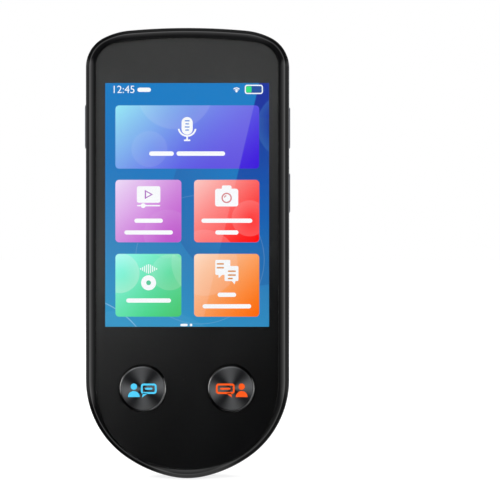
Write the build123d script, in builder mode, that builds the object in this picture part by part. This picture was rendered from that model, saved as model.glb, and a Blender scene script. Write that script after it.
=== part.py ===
from build123d import *
import os
from math import asin, degrees, radians, sin

# Handheld voice translator. It stands upright: +Z up, the display looks along -Y and the camera
# along +Y. The origin is on the flat back face, at the middle of the case.
# A "depth" is the distance from the back face towards the front, so Plane.XZ.offset(depth) is the
# plane at that depth and a positive extrusion from it runs towards the front. All in millimetres.

os.makedirs("parts", exist_ok=True)

# --- driving dimensions ---------------------------------------------------------------------
# case
body_width = 53.2
body_height = 117.6
body_depth = 13.0  # back face to the crest of the front frame

# case outline: tangent arcs, three above the straight sides and three below
arch_radius = 169.6  # nearly flat top
shoulder_radius = 18.3
corner_radius = 8.7
corner_turn = 27.2  # degrees the outline has turned where the corner begins
tip_radius = 20.6
tip_turn = 12.9
flank_radius = 24.5
flank_turn = 34.8

# back cover
cover_wall = 1.2
rim_bevel = 0.25
rib_thickness = 0.8
rib_spacing = 10.0
rib_count = 3
rib_gap = 0.3  # ribs to battery
rib_end_gap = 0.8

# front frame
frame_reveal = 0.12  # step in from the cover at the parting line
flange_height = 1.8
flange_round = 0.85
bead_inset = 1.0
bead_round = 1.9
skirt_inset = 2.2
tongue_length = 0.45
tongue_gap = 0.1
key_tongue_gap = 0.15  # tongue to the flanges of the edge keys

# snap hooks between the front frame and the cover
hook_width = 3.0
hook_reach = 1.7  # behind the parting line
nose_size = 0.45
nose_height = 0.55
hook_gap = 0.1
low_hook = 30.8  # from the lowest point of the case
key_hook = 12.8  # below the volume down key
high_hook = 13.8  # from the top of the case

# cover glass
glass_side_margin = 3.0
glass_top_margin = 3.1
glass_tip_margin = 2.85
glass_arch_radius = 141.7
glass_shoulder_radius = 10.0
glass_corner_radius = 6.1
glass_corner_turn = 17.2
glass_tip_radius = 31.6
glass_tip_turn = 18.8
glass_flank_radius = 30.7
glass_flank_turn = 70.1
glass_recess = 0.3  # below the crest of the front frame
glass_thickness = 0.8
glass_gap = 0.1
glass_edge = 0.15
adhesive_thickness = 0.15
ledge_width = 0.8
ledge_thickness = 0.75

# display
picture_top_margin = 14.7  # case to picture
panel_gap = 0.3  # panel to the glass's ledge
panel_collar_gap = 4.25  # panel's foot to the collars of the talk buttons
panel_border = 1.25  # panel's edge to the picture
panel_foot = 4.2  # driver strip below the picture
bonding_gap = 0.06  # clear adhesive between panel and glass
panel_thickness = 0.84
backlight_thickness = 1.2
backlight_border = 0.7
backlight_foot = 0.5

# mid frame
plate_gap = 0.1  # behind the backlight
plate_thickness = 0.8
plate_skirt_gap = 0.1  # to the front frame's skirt
rim_width = 0.9
boss_height = 0.6
boss_radius = 1.9
pilot_clearance = 0.03

# talk buttons
talk_side_margin = 15.15  # case edge to a button's middle
talk_tip_margin = 23.8  # lowest point of the case to a button's middle
talk_radius = 5.9
talk_hole_gap = 0.25
talk_proud = 0.15
talk_dish = 0.3
talk_edge = 0.3
talk_slope = 0.5  # width of the slope down to the sunk face
talk_lip = 0.6
talk_flange = 0.5
talk_flange_gap = 0.1
talk_travel = 0.45
talk_post_radius = 1.2
talk_post_length = 0.55
talk_plunger_radius = 1.3
talk_post_gap = 0.65  # post to switch
collar_gap = 0.2
collar_wall = 0.75
collar_drop = 0.3  # collar below the glass
talk_switch_size = 5.2
switch_window_gap = 0.4

# edge keys
key_width = 2.4
key_gap = 0.1
key_travel = 0.3
key_bevel = 0.2
key_bevel_share = 0.9  # the most of a key's proud height that its bevel takes
key_flange = 0.6
key_lip_ends = 0.7
key_lip_sides = 0.3
side_key_length = 11.7
side_key_drop = 25.6  # from the top of the case to its middle
side_key_proud = 0.42
volume_up_length = 10.8
volume_up_drop = 25.9
volume_down_length = 10.3
volume_down_drop = 43.0
volume_key_proud = 0.26
power_key_length = 7.4
power_key_proud = 0.2
key_plunger_radius = 0.6
key_switch_length = 4.0
key_switch_width = 2.6
key_switch_thickness = 1.4
key_switch_gap = 0.1  # to the mid frame's plate
key_flex_thickness = 0.15
key_flex_margin = 0.4
bracket_thickness = 0.7
bracket_margin = 0.5

# plungers run in their switches
plunger_clearance = 0.05
plunger_reserve = 0.1  # left below a pressed plunger
switch_floor = 0.1

# camera
camera_drop = 18.9  # from the top of the case
camera_ring_radius = 11.6
camera_ring_proud = 0.8
camera_ring_width = 1.5
camera_ring_bevel = 0.45
camera_seat_depth = 0.6
camera_seat_gap = 0.1
window_gap = 0.1
window_seat = 0.8
window_proud = 0.3
lens_ring_radius = 2.2
lens_ring_wall = 0.6
lens_ring_proud = 0.12
lens_ring_lip = 0.3
lens_thickness = 0.45
lens_crown = 0.15
camera_body_size = 8.5
camera_body_thickness = 4.5
camera_body_round = 0.85
barrel_radius = 3.1
barrel_nose_radius = 2.3
barrel_nose_gap = 0.1
camera_gasket_radius = 4.0
camera_gasket_thickness = 0.8

# loudspeaker behind the drilled grille
speaker_usb_gap = 2.95
speaker_radius = 15.0
speaker_wall = 0.6
speaker_rim = 1.1
speaker_gasket = 0.5
speaker_seat_gap = 0.15
speaker_seat_wall = 0.9
speaker_seat_height = 3.2
magnet_radius = 6.9
magnet_gap = 0.1
magnet_proud = 1.2  # in front of the frame, towards the boards
magnet_bevel = 0.3
cone_thickness = 0.2
cone_dome_radius = 5.2
cone_room = 1.5  # from the frame's front to the magnet
mesh_thickness = 0.15
mesh_gap = 0.2
# sunburst grille: each ring's share of the outermost radius, and the radius of its holes
grille_rings = (
    (0.199, 0.17),
    (0.287, 0.25),
    (0.452, 0.21),
    (0.552, 0.32),
    (0.720, 0.25),
    (0.835, 0.37),
)
grille_spokes = 20
grille_hole_sides = 8
grille_outer_hole = 0.30  # at the end of every second spoke
grille_margin = 0.85  # outermost ring to the loudspeaker's rim

# boards
board_thickness = 0.8
board_gap = 1.05  # main board to the key brackets
board_below_camera = 8.65  # camera cut-out to the main board's lower edge
flex_board_lead = 1.0  # sub board's edge above the bend of the display flex
sub_board_inset = 3.4
camera_cut_gap = 0.4
screw_radius = 0.7
screw_head_radius = 1.3
screw_head_height = 0.6
screw_hole_gap = 0.1
screw_tip_gap = 0.2  # screw to the front of the mid frame's plate
screw_edge = 2.6  # from the main board's upper and lower edges
main_screw_inset = 4.0  # from its sides
sub_screw_inset = 9.1  # from the sides of the case
sub_screw_drop = 3.5  # below the sub board's upper edge
tip_screw_rise = 5.9  # above the microphones
tip_screw_offset = 0.5  # and outwards from them
flex_tab_width = 5.6
flex_tab_height = 3.4
board_flex_width = 2.1
board_flex_overlap = 3.0
board_flex_inset = 3.0
can_height = 1.5
can_wall = 0.2
can_round = 0.8
can_length = 16.0
can_rise = 1.3  # above the camera's middle
can_cut_gap = 2.3  # to the camera's cut-out
can_edge_gap = 1.55  # to the main board's side
chip_height = 0.9
chip_margin = 1.75  # can to chip

# battery
battery_side_gap = 0.5  # to the board flex
battery_back_gap = 1.75
battery_low_gap = 1.25  # to the loudspeaker's seat
battery_high_gap = 0.6  # to the main board
battery_round = 1.4
tape_thickness = 0.15
tape_width = 8.0
tape_side_margin = 6.0
tape_end_margin = 4.0
battery_lead_width = 8.0
battery_lead_thickness = 0.3
battery_plug_height = 1.0
battery_plug_length = 2.8

# socket and microphones in the lower end
usb_width = 8.94
usb_height = 3.2
usb_length = 7.0
usb_wall = 0.3
usb_recess = 0.9  # mouth behind the lowest point of the case
usb_gap = 0.18
usb_tongue_width = 6.7
usb_tongue_thickness = 0.7
usb_back = 1.2
usb_tongue_recess = 0.8
mic_usb_gap = 4.03  # socket's side to a microphone's middle
mic_setback = 6.5  # behind the socket's mouth
mic_width = 3.5
mic_length = 2.6
mic_thickness = 1.0
mic_hole_radius = 0.45

# display flex, wireless antenna and speaker pad
flex_width = 14.0
flex_thickness = 0.2
flex_bend = 0.4
flex_drop = 1.7  # below the panel
flex_foot = 4.2
flex_slot_gap = 0.5
antenna_width = 5.0
antenna_length = 26.0
antenna_side_gap = 0.3  # to the rounded edge
antenna_thickness = 0.15
speaker_pad_radius = 5.0
speaker_pad_thickness = 1.3

# --- what follows from them -----------------------------------------------------------------
half_width = body_width / 2
half_height = body_height / 2
camera_ring_bore = camera_ring_radius - camera_ring_width
window_radius = camera_ring_bore - window_gap

# depths, from the glass back to the boards
glass_front = body_depth - glass_recess
glass_back = glass_front - glass_thickness
ledge_front = glass_back - adhesive_thickness
ledge_back = ledge_front - ledge_thickness
panel_front = glass_back - bonding_gap
panel_back = panel_front - panel_thickness
backlight_back = panel_back - backlight_thickness
plate_front = backlight_back - plate_gap
plate_back = plate_front - plate_thickness
board_front = plate_back - boss_height
board_back = board_front - board_thickness
battery_front = plate_back - tape_thickness
battery_back = cover_wall + battery_back_gap

# the edge keys set where the cover parts and where its rounded back edge begins
key_depth = plate_back - key_switch_gap - key_switch_width / 2
key_flange_half = key_width / 2 + key_lip_sides
tongue_back = key_depth + key_flange_half + key_tongue_gap
parting_depth = tongue_back + tongue_length
back_round = key_depth - key_flange_half

key_inner = cover_wall + key_gap + key_flange  # back of a key's flange, from the case's edge
switch_face = key_inner + key_travel + plunger_reserve
switch_seat = switch_face + key_switch_thickness
flex_seat = switch_seat + key_flex_thickness
key_plunger_length = key_switch_thickness - switch_floor

# heights of the keys and the camera
side_key_height = half_height - side_key_drop
volume_up_height = half_height - volume_up_drop
volume_down_height = half_height - volume_down_drop
camera_height = half_height - camera_drop
hook_heights = (low_hook - half_height, volume_down_height - key_hook, half_height - high_hook)

# socket, microphones and loudspeaker, from the lower end up
usb_depth = board_back - usb_height / 2
usb_mouth = usb_recess - half_height
slot_cut = 2.5 * cover_wall  # reaches through the curved wall from one wall outside it
mic_spacing = usb_width + 2 * mic_usb_gap
mic_height = usb_mouth + mic_setback
speaker_seat_radius = speaker_radius + speaker_seat_gap + speaker_seat_wall
speaker_height = usb_mouth + usb_length + speaker_usb_gap + speaker_seat_radius

# talk buttons, and the display above them
talk_height = talk_tip_margin - half_height
talk_places = ((talk_side_margin - half_width, talk_height), (half_width - talk_side_margin, talk_height))
talk_flange_front = glass_back - talk_flange_gap
talk_flange_back = talk_flange_front - talk_flange
talk_plunger_front = talk_flange_back - talk_post_length
talk_switch_height = talk_plunger_front - talk_post_gap - board_front
talk_bore_depth = board_front + switch_floor
talk_plunger_length = talk_plunger_front - talk_travel - plunger_reserve - talk_bore_depth
talk_flange_radius = talk_radius + talk_lip
collar_inner = talk_flange_radius + collar_gap
panel_bottom = talk_height + collar_inner + collar_wall + panel_collar_gap
panel_width = body_width - 2 * (glass_side_margin + ledge_width + panel_gap)
picture_width = panel_width - 2 * panel_border
picture_bottom = panel_bottom + panel_foot
picture_top = half_height - picture_top_margin
panel_top = picture_top + panel_border
backlight_bottom = picture_bottom - backlight_foot
backlight_top = picture_top + backlight_border
flex_fall = panel_bottom - flex_drop

# boards and battery
plate_inset = skirt_inset + plate_skirt_gap
board_half_width = half_width - flex_seat - bracket_thickness - board_gap
main_board_top = half_height - flex_seat - bracket_thickness - board_gap
main_board_bottom = camera_height - camera_body_size / 2 - camera_cut_gap - board_below_camera
sub_board_top = flex_fall + flex_board_lead
screw_length = board_thickness + boss_height + plate_thickness - screw_tip_gap
main_screw_x = board_half_width - main_screw_inset
main_screws = (
    (-main_screw_x, main_board_bottom + screw_edge),
    (main_screw_x, main_board_bottom + screw_edge),
    (0, main_board_top - screw_edge),
)
sub_screw_x = half_width - sub_screw_inset
tip_screw_x = mic_spacing / 2 + tip_screw_offset
sub_screws = (
    (-sub_screw_x, sub_board_top - sub_screw_drop),
    (sub_screw_x, sub_board_top - sub_screw_drop),
    (-tip_screw_x, mic_height + tip_screw_rise),
    (tip_screw_x, mic_height + tip_screw_rise),
)
can_inner = camera_body_size / 2 + camera_cut_gap + can_cut_gap
can_outer = board_half_width - can_edge_gap
can_width = can_outer - can_inner
can_middle = (can_outer + can_inner) / 2
battery_width = body_width - 2 * (board_flex_inset + board_flex_width + battery_side_gap)
battery_bottom = speaker_height + speaker_seat_radius + battery_low_gap
battery_top = main_board_bottom - battery_high_gap
battery_length = battery_top - battery_bottom
battery_middle = (battery_top + battery_bottom) / 2


def rounded_outline(width, top, bottom, arch, shoulder, corner, corner_at, tip, tip_at, flank, flank_at):
    """Closed outline, symmetric left to right: arcs that touch smoothly and straight sides.

    The arch's length and the radius of the heel, between tip and flank, follow from the width.
    """
    half = width / 2
    corner_sine = sin(radians(corner_at))
    tip_sine = sin(radians(tip_at))
    flank_sine = sin(radians(flank_at))
    arch_at = degrees(asin((half - corner - (shoulder - corner) * corner_sine) / (arch - shoulder)))
    heel = (half - tip * tip_sine - flank * (1 - flank_sine)) / (flank_sine - tip_sine)
    with BuildSketch() as outline:
        with BuildLine():
            crown = JernArc((0, top), (1, 0), arch, -arch_at)
            upper = JernArc(crown @ 1, crown % 1, shoulder, arch_at - corner_at)
            turn = JernArc(upper @ 1, upper % 1, corner, corner_at - 90)
            lowest = JernArc((0, bottom), (1, 0), tip, tip_at)
            lower = JernArc(lowest @ 1, lowest % 1, heel, flank_at - tip_at)
            rise = JernArc(lower @ 1, lower % 1, flank, 90 - flank_at)
            Line(rise @ 1, turn @ 1)
            mirror(about=Plane.YZ)
        make_face()
    return outline.sketch


def inset(outline, amount):
    """The outline moved inwards by an amount, or outwards by a negative one."""
    with BuildSketch() as moved:
        add(outline)
        offset(amount=-amount)
    return moved.sketch


def turning_plane(x, z):
    """Plane to draw the profile of a turned piece on, as (radius, depth)."""
    return Plane(origin=(x, 0, z), x_dir=(1, 0, 0), z_dir=(0, 0, -1))


def turning_axis(x, z):
    return Axis((x, 0, z), (0, 1, 0))


def bowl_arc(depth, radius, rise):
    """Arc of a shallow bowl or crown, from its middle on the turning axis out to a radius."""
    curvature_radius = (radius**2 + rise**2) / (2 * rise)
    return JernArc((0, depth), (1, 0), curvature_radius, degrees(asin(radius / curvature_radius)))


def edge_plane(x, z, outward):
    """Plane on the case's edge at a key's height, looking out, with its second axis to the front."""
    along = Vector(0, -1, 0).cross(Vector(*outward))
    return Plane(origin=(x, -key_depth, z), x_dir=along, z_dir=outward)


case_outline = rounded_outline(
    body_width, half_height, -half_height,
    arch_radius, shoulder_radius, corner_radius, corner_turn,
    tip_radius, tip_turn, flank_radius, flank_turn,
)
glass_outline = rounded_outline(
    body_width - 2 * glass_side_margin,
    half_height - glass_top_margin,
    glass_tip_margin - half_height,
    glass_arch_radius, glass_shoulder_radius, glass_corner_radius, glass_corner_turn,
    glass_tip_radius, glass_tip_turn, glass_flank_radius, glass_flank_turn,
)

right = (1, 0, 0)
left = (-1, 0, 0)
upward = (0, 0, 1)
# each key's plane, length and how far it stands proud
keys = {
    "side_key": (edge_plane(-half_width, side_key_height, left), side_key_length, side_key_proud),
    "volume_up_key": (edge_plane(half_width, volume_up_height, right), volume_up_length, volume_key_proud),
    "volume_down_key": (
        edge_plane(half_width, volume_down_height, right), volume_down_length, volume_key_proud
    ),
    "power_key": (edge_plane(0, half_height, upward), power_key_length, power_key_proud),
}
volume_middle = (volume_up_height + volume_down_height) / 2
volume_flex_length = volume_up_height - volume_down_height + key_switch_length + 2 * key_flex_margin
short_flex_length = key_switch_length + 2 * key_flex_margin
# each key flex's plane and length
key_flexes = {
    "side_key_flex": (edge_plane(-half_width, side_key_height, left), short_flex_length),
    "volume_key_flex": (edge_plane(half_width, volume_middle, right), volume_flex_length),
    "power_key_flex": (edge_plane(0, half_height, upward), short_flex_length),
}

# --- back cover -----------------------------------------------------------------------------
with BuildPart() as cover_cavity:
    with BuildSketch(Plane.XZ.offset(cover_wall)):
        add(inset(case_outline, cover_wall))
    extrude(amount=parting_depth)
    fillet(cover_cavity.edges().group_by(Axis.Y)[-1], radius=back_round - cover_wall)

usb_plane = Plane(origin=(0, -usb_depth, -half_height), x_dir=(1, 0, 0), z_dir=(0, 0, -1))

with BuildPart() as back_cover:
    with BuildSketch(Plane.XZ):
        add(case_outline)
    extrude(amount=parting_depth)
    fillet(back_cover.edges().group_by(Axis.Y)[-1], radius=back_round)
    chamfer(back_cover.edges().group_by(Axis.Y)[0], length=rim_bevel)
    add(cover_cavity.part, mode=Mode.SUBTRACT)

    # seat for the loudspeaker
    with BuildSketch(Plane.XZ.offset(cover_wall)):
        with Locations((0, speaker_height)):
            Circle(speaker_seat_radius)
            Circle(speaker_radius + speaker_seat_gap, mode=Mode.SUBTRACT)
    extrude(amount=speaker_seat_height)

    # ribs that keep the battery in place
    with BuildSketch(Plane.XZ.offset(cover_wall)):
        with Locations((0, battery_middle)):
            with GridLocations(rib_spacing, 1, rib_count, 1):
                Rectangle(rib_thickness, battery_length - 2 * rib_end_gap)
    extrude(amount=battery_back - rib_gap - cover_wall)

    # seat and opening for the camera
    with Locations(Plane(origin=(0, 0, camera_height), x_dir=(1, 0, 0), z_dir=(0, 1, 0))):
        CounterBoreHole(
            radius=window_radius - window_seat,
            counter_bore_radius=camera_ring_radius + camera_seat_gap,
            counter_bore_depth=camera_seat_depth,
            depth=cover_wall,
        )

    # sunburst of small holes in front of the loudspeaker, eight-sided to keep so many of them light
    grille_radius = speaker_radius - speaker_rim - grille_margin
    with BuildSketch(Plane.XZ):
        with Locations((0, speaker_height)):
            for ring_share, hole_radius in grille_rings:
                with PolarLocations(ring_share * grille_radius, grille_spokes, start_angle=90):
                    RegularPolygon(hole_radius, grille_hole_sides)
            with PolarLocations(grille_radius, grille_spokes // 2, start_angle=90):
                RegularPolygon(grille_outer_hole, grille_hole_sides)
    extrude(amount=cover_wall, mode=Mode.SUBTRACT)

    # slots for the edge keys
    for key_plane, key_length, _ in keys.values():
        with BuildSketch(key_plane.offset(cover_wall)):
            SlotOverall(key_length + 2 * key_gap, key_width + 2 * key_gap)
        extrude(amount=-slot_cut, mode=Mode.SUBTRACT)

    # socket slot and microphone holes in the lower end
    with BuildSketch(usb_plane.offset(cover_wall)):
        SlotOverall(usb_width + 2 * usb_gap, usb_height + 2 * usb_gap)
        with GridLocations(mic_spacing, 1, 2, 1):
            Circle(mic_hole_radius)
    extrude(amount=-(usb_recess + cover_wall + slot_cut), mode=Mode.SUBTRACT)

    # pockets that the snap hooks catch in
    pocket_depth = nose_size + hook_gap
    nose_middle = parting_depth - hook_reach + nose_height / 2
    for side in (-1, 1):
        for hook_height in hook_heights:
            with Locations((side * (half_width - cover_wall), -nose_middle, hook_height)):
                Box(
                    2 * (pocket_depth - tongue_gap),
                    nose_height + 2 * hook_gap,
                    hook_width + 2 * hook_gap,
                    mode=Mode.SUBTRACT,
                )
back_cover.part.label = "back_cover"
export_step(back_cover.part, "parts/back_cover.step")

# --- front frame ----------------------------------------------------------------------------
with BuildPart() as bead:
    with BuildSketch(Plane.XZ.offset(parting_depth)):
        add(inset(case_outline, bead_inset))
    extrude(amount=body_depth - parting_depth)
    fillet(bead.edges().group_by(Axis.Y)[0], radius=bead_round)

with BuildPart() as front_frame:
    # flange on the cover, with the rounded band that shows beside the bead
    with BuildSketch(Plane.XZ.offset(parting_depth)):
        add(inset(case_outline, frame_reveal))
    extrude(amount=flange_height)
    fillet(front_frame.edges().group_by(Axis.Y)[0], radius=flange_round)
    add(bead.part)

    # pocket for the glass, opening behind its ledge, hollow skirt
    with BuildSketch(Plane.XZ.offset(ledge_front)):
        add(inset(glass_outline, -glass_gap))
    extrude(amount=body_depth, mode=Mode.SUBTRACT)
    with BuildSketch(Plane.XZ):
        add(inset(glass_outline, ledge_width))
    extrude(amount=body_depth, mode=Mode.SUBTRACT)
    with BuildSketch(Plane.XZ.offset(parting_depth)):
        add(inset(case_outline, skirt_inset))
    extrude(amount=ledge_back - parting_depth, mode=Mode.SUBTRACT)

    # tongue inside the cover's rim
    with BuildSketch(Plane.XZ.offset(tongue_back)):
        add(inset(case_outline, cover_wall + tongue_gap))
        add(inset(case_outline, skirt_inset), mode=Mode.SUBTRACT)
    extrude(amount=tongue_length)

    # snap hooks
    tongue_face = half_width - cover_wall - tongue_gap
    tab_thickness = skirt_inset - cover_wall - tongue_gap
    tab_middle = parting_depth - hook_reach / 2
    for side in (-1, 1):
        for hook_height in hook_heights:
            with Locations((side * (tongue_face - tab_thickness / 2), -tab_middle, hook_height)):
                Box(tab_thickness, hook_reach, hook_width)
            with Locations((side * tongue_face, -nose_middle, hook_height)):
                Box(2 * nose_size, nose_height, hook_width)
front_frame.part.label = "front_frame"
export_step(front_frame.part, "parts/front_frame.step")

# --- cover glass and its adhesive -----------------------------------------------------------
with BuildPart() as cover_glass:
    with BuildSketch(Plane.XZ.offset(glass_back)):
        add(glass_outline)
        with Locations(*talk_places):
            Circle(talk_radius + talk_hole_gap, mode=Mode.SUBTRACT)
    extrude(amount=glass_thickness)
    chamfer(cover_glass.faces().sort_by(Axis.Y)[0].outer_wire().edges(), length=glass_edge)
cover_glass.part.label = "cover_glass"
export_step(cover_glass.part, "parts/cover_glass.step")

with BuildPart() as glass_adhesive:
    with BuildSketch(Plane.XZ.offset(ledge_front)):
        add(glass_outline)
        add(inset(glass_outline, ledge_width), mode=Mode.SUBTRACT)
    extrude(amount=adhesive_thickness)
glass_adhesive.part.label = "glass_adhesive"
export_step(glass_adhesive.part, "parts/glass_adhesive.step")

# --- display --------------------------------------------------------------------------------
with BuildPart() as display_panel:
    with BuildSketch(Plane.XZ.offset(panel_back)):
        with Locations((0, panel_bottom)):
            Rectangle(panel_width, panel_top - panel_bottom, align=(Align.CENTER, Align.MIN))
    extrude(amount=panel_thickness)
display_panel.part.label = "display_panel"
export_step(display_panel.part, "parts/display_panel.step")

with BuildPart() as display_backlight:
    with BuildSketch(Plane.XZ.offset(backlight_back)):
        with Locations((0, backlight_bottom)):
            RectangleRounded(
                picture_width + 2 * backlight_border,
                backlight_top - backlight_bottom,
                backlight_border,
                align=(Align.CENTER, Align.MIN),
            )
    extrude(amount=backlight_thickness)
display_backlight.part.label = "display_backlight"
export_step(display_backlight.part, "parts/display_backlight.step")

# flex from the panel's foot, through the mid frame, to the front of the sub board
with BuildPart() as display_flex:
    with BuildLine(Plane.YZ) as flex_route:
        FilletPolyline(
            (-(panel_back - flex_thickness / 2), backlight_bottom - backlight_foot),
            (-(panel_back - flex_thickness / 2), flex_fall),
            (-(board_front + flex_thickness / 2), flex_fall),
            (-(board_front + flex_thickness / 2), flex_fall - flex_foot),
            radius=flex_bend,
        )
    with BuildSketch(Plane(flex_route.line @ 0, x_dir=(1, 0, 0), z_dir=(0, 0, -1))):
        Rectangle(flex_width, flex_thickness)
    sweep()
display_flex.part.label = "display_flex"
export_step(display_flex.part, "parts/display_flex.step")

# --- mid frame ------------------------------------------------------------------------------
board_screws_at = main_screws + sub_screws
with BuildPart() as mid_frame:
    with BuildSketch(Plane.XZ.offset(plate_back)):
        add(inset(case_outline, plate_inset))
    extrude(amount=plate_thickness)
    # rim up to the ledge of the front frame
    with BuildSketch(Plane.XZ.offset(plate_front)):
        add(inset(case_outline, plate_inset))
        add(inset(case_outline, plate_inset + rim_width), mode=Mode.SUBTRACT)
    extrude(amount=ledge_back - plate_front)
    # collars that guide the talk buttons
    with BuildSketch(Plane.XZ.offset(plate_front)):
        with Locations(*talk_places):
            Circle(collar_inner + collar_wall)
            Circle(collar_inner, mode=Mode.SUBTRACT)
    extrude(amount=glass_back - collar_drop - plate_front)
    # bosses for the board screws
    with BuildSketch(Plane.XZ.offset(board_front)):
        with Locations(*board_screws_at):
            Circle(boss_radius)
    extrude(amount=boss_height)
    # brackets behind the edge keys
    for flex_plane, flex_length in key_flexes.values():
        with BuildSketch(flex_plane.offset(-flex_seat)):
            with Locations((0, -key_switch_width / 2)):
                Rectangle(
                    flex_length + 2 * bracket_margin,
                    plate_back - key_depth + key_switch_width / 2,
                    align=(Align.CENTER, Align.MIN),
                )
        extrude(amount=-bracket_thickness)
    # windows for the talk switches, slot for the display flex, pilot holes
    with BuildSketch(Plane.XZ.offset(board_front)):
        with Locations(*talk_places):
            Rectangle(talk_switch_size + 2 * switch_window_gap, talk_switch_size + 2 * switch_window_gap)
        with Locations((0, flex_fall)):
            SlotOverall(flex_width + 2 * flex_slot_gap, flex_thickness + 2 * flex_slot_gap)
        with Locations(*board_screws_at):
            Circle(screw_radius + pilot_clearance)
    extrude(amount=ledge_back - board_front, mode=Mode.SUBTRACT)
mid_frame.part.label = "mid_frame"
export_step(mid_frame.part, "parts/mid_frame.step")

# --- talk buttons ---------------------------------------------------------------------------
talk_face = glass_front + talk_proud
for talk_name, (talk_x, talk_z) in zip(("left", "right"), talk_places):
    with BuildPart() as talk_button:
        with BuildSketch(turning_plane(talk_x, talk_z)):
            with BuildLine():
                Polyline(
                    (0, talk_face - talk_dish),
                    (talk_radius - talk_edge - talk_slope, talk_face - talk_dish),
                    (talk_radius - talk_edge, talk_face),
                    (talk_radius, talk_face - talk_edge),
                    (talk_radius, talk_flange_front),
                    (talk_flange_radius, talk_flange_front),
                    (talk_flange_radius, talk_flange_back),
                    (talk_post_radius, talk_flange_back),
                    (talk_post_radius, talk_plunger_front),
                    (0, talk_plunger_front),
                    close=True,
                )
            make_face()
        revolve(axis=turning_axis(talk_x, talk_z))
    talk_button.part.label = f"talk_button_{talk_name}"
    export_step(talk_button.part, f"parts/talk_button_{talk_name}.step")

    with BuildPart() as talk_plunger:
        with BuildSketch(Plane.XZ.offset(talk_plunger_front)):
            with Locations((talk_x, talk_z)):
                Circle(talk_plunger_radius)
        extrude(amount=-talk_plunger_length)
    talk_plunger.part.label = f"talk_plunger_{talk_name}"
    export_step(talk_plunger.part, f"parts/talk_plunger_{talk_name}.step")

with BuildPart() as talk_switches:
    with BuildSketch(Plane.XZ.offset(board_front)):
        with Locations(*talk_places):
            Rectangle(talk_switch_size, talk_switch_size)
    extrude(amount=talk_switch_height)
    with BuildSketch(Plane.XZ.offset(talk_bore_depth)):
        with Locations(*talk_places):
            Circle(talk_plunger_radius + plunger_clearance)
    extrude(amount=body_depth, mode=Mode.SUBTRACT)
talk_switches.part.label = "talk_switches"
export_step(talk_switches.part, "parts/talk_switches.step")

# --- edge keys ------------------------------------------------------------------------------
for key_name, (key_plane, key_length, key_proud) in keys.items():
    outward = Axis(key_plane.origin, key_plane.z_dir)
    with BuildPart() as key:
        with BuildSketch(key_plane.offset(-cover_wall - key_gap)):
            SlotOverall(key_length, key_width)
        extrude(amount=cover_wall + key_gap + key_proud)
        chamfer(key.faces().sort_by(outward)[-1].edges(), length=min(key_bevel, key_bevel_share * key_proud))
        with BuildSketch(key_plane.offset(-key_inner)):
            SlotOverall(key_length + 2 * key_lip_ends, key_width + 2 * key_lip_sides)
        extrude(amount=key_flange)
    key.part.label = key_name
    export_step(key.part, f"parts/{key_name}.step")

    with BuildPart() as key_plunger:
        with BuildSketch(key_plane.offset(-key_inner)):
            Circle(key_plunger_radius)
        extrude(amount=-key_plunger_length)
    key_plunger.part.label = f"{key_name}_plunger"
    export_step(key_plunger.part, f"parts/{key_name}_plunger.step")

with BuildPart() as key_switches:
    for key_plane, _, _ in keys.values():
        with BuildSketch(key_plane.offset(-switch_face)):
            Rectangle(key_switch_length, key_switch_width)
        extrude(amount=-key_switch_thickness)
        with BuildSketch(key_plane.offset(-switch_face)):
            Circle(key_plunger_radius + plunger_clearance)
        extrude(amount=-key_plunger_length, mode=Mode.SUBTRACT)
key_switches.part.label = "key_switches"
export_step(key_switches.part, "parts/key_switches.step")

for flex_name, (flex_plane, flex_length) in key_flexes.items():
    with BuildPart() as key_flex:
        with BuildSketch(flex_plane.offset(-switch_seat)):
            Rectangle(flex_length, key_switch_width)
        extrude(amount=-key_flex_thickness)
    key_flex.part.label = flex_name
    export_step(key_flex.part, f"parts/{flex_name}.step")

# --- camera ---------------------------------------------------------------------------------
with BuildPart() as camera_ring:
    with BuildSketch(turning_plane(0, camera_height)):
        with BuildLine():
            Polyline(
                (camera_ring_bore, camera_seat_depth),
                (camera_ring_radius, camera_seat_depth),
                (camera_ring_radius, camera_ring_bevel - camera_ring_proud),
                (camera_ring_radius - camera_ring_bevel, -camera_ring_proud),
                (camera_ring_bore + camera_ring_bevel, -camera_ring_proud),
                (camera_ring_bore, camera_ring_bevel - camera_ring_proud),
                close=True,
            )
        make_face()
    revolve(axis=turning_axis(0, camera_height))
camera_ring.part.label = "camera_ring"
export_step(camera_ring.part, "parts/camera_ring.step")

with BuildPart() as camera_window:
    with BuildSketch(Plane.XZ.offset(-window_proud)):
        with Locations((0, camera_height)):
            Circle(window_radius)
            Circle(lens_ring_radius + plunger_clearance, mode=Mode.SUBTRACT)
    extrude(amount=camera_seat_depth + window_proud)
camera_window.part.label = "camera_window"
export_step(camera_window.part, "parts/camera_window.step")

lens_bore = lens_ring_radius - lens_ring_wall
with BuildPart() as lens_ring:
    with BuildSketch(Plane.XZ.offset(-window_proud - lens_ring_proud)):
        with Locations((0, camera_height)):
            Circle(lens_ring_radius)
            Circle(lens_bore, mode=Mode.SUBTRACT)
    extrude(amount=camera_seat_depth + window_proud + lens_ring_proud)
    with BuildSketch(Plane.XZ.offset(camera_seat_depth - lens_ring_lip)):
        with Locations((0, camera_height)):
            Circle(lens_ring_radius)
            Circle(lens_bore - lens_ring_lip, mode=Mode.SUBTRACT)
    extrude(amount=lens_ring_lip)
lens_ring.part.label = "lens_ring"
export_step(lens_ring.part, "parts/lens_ring.step")

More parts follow.
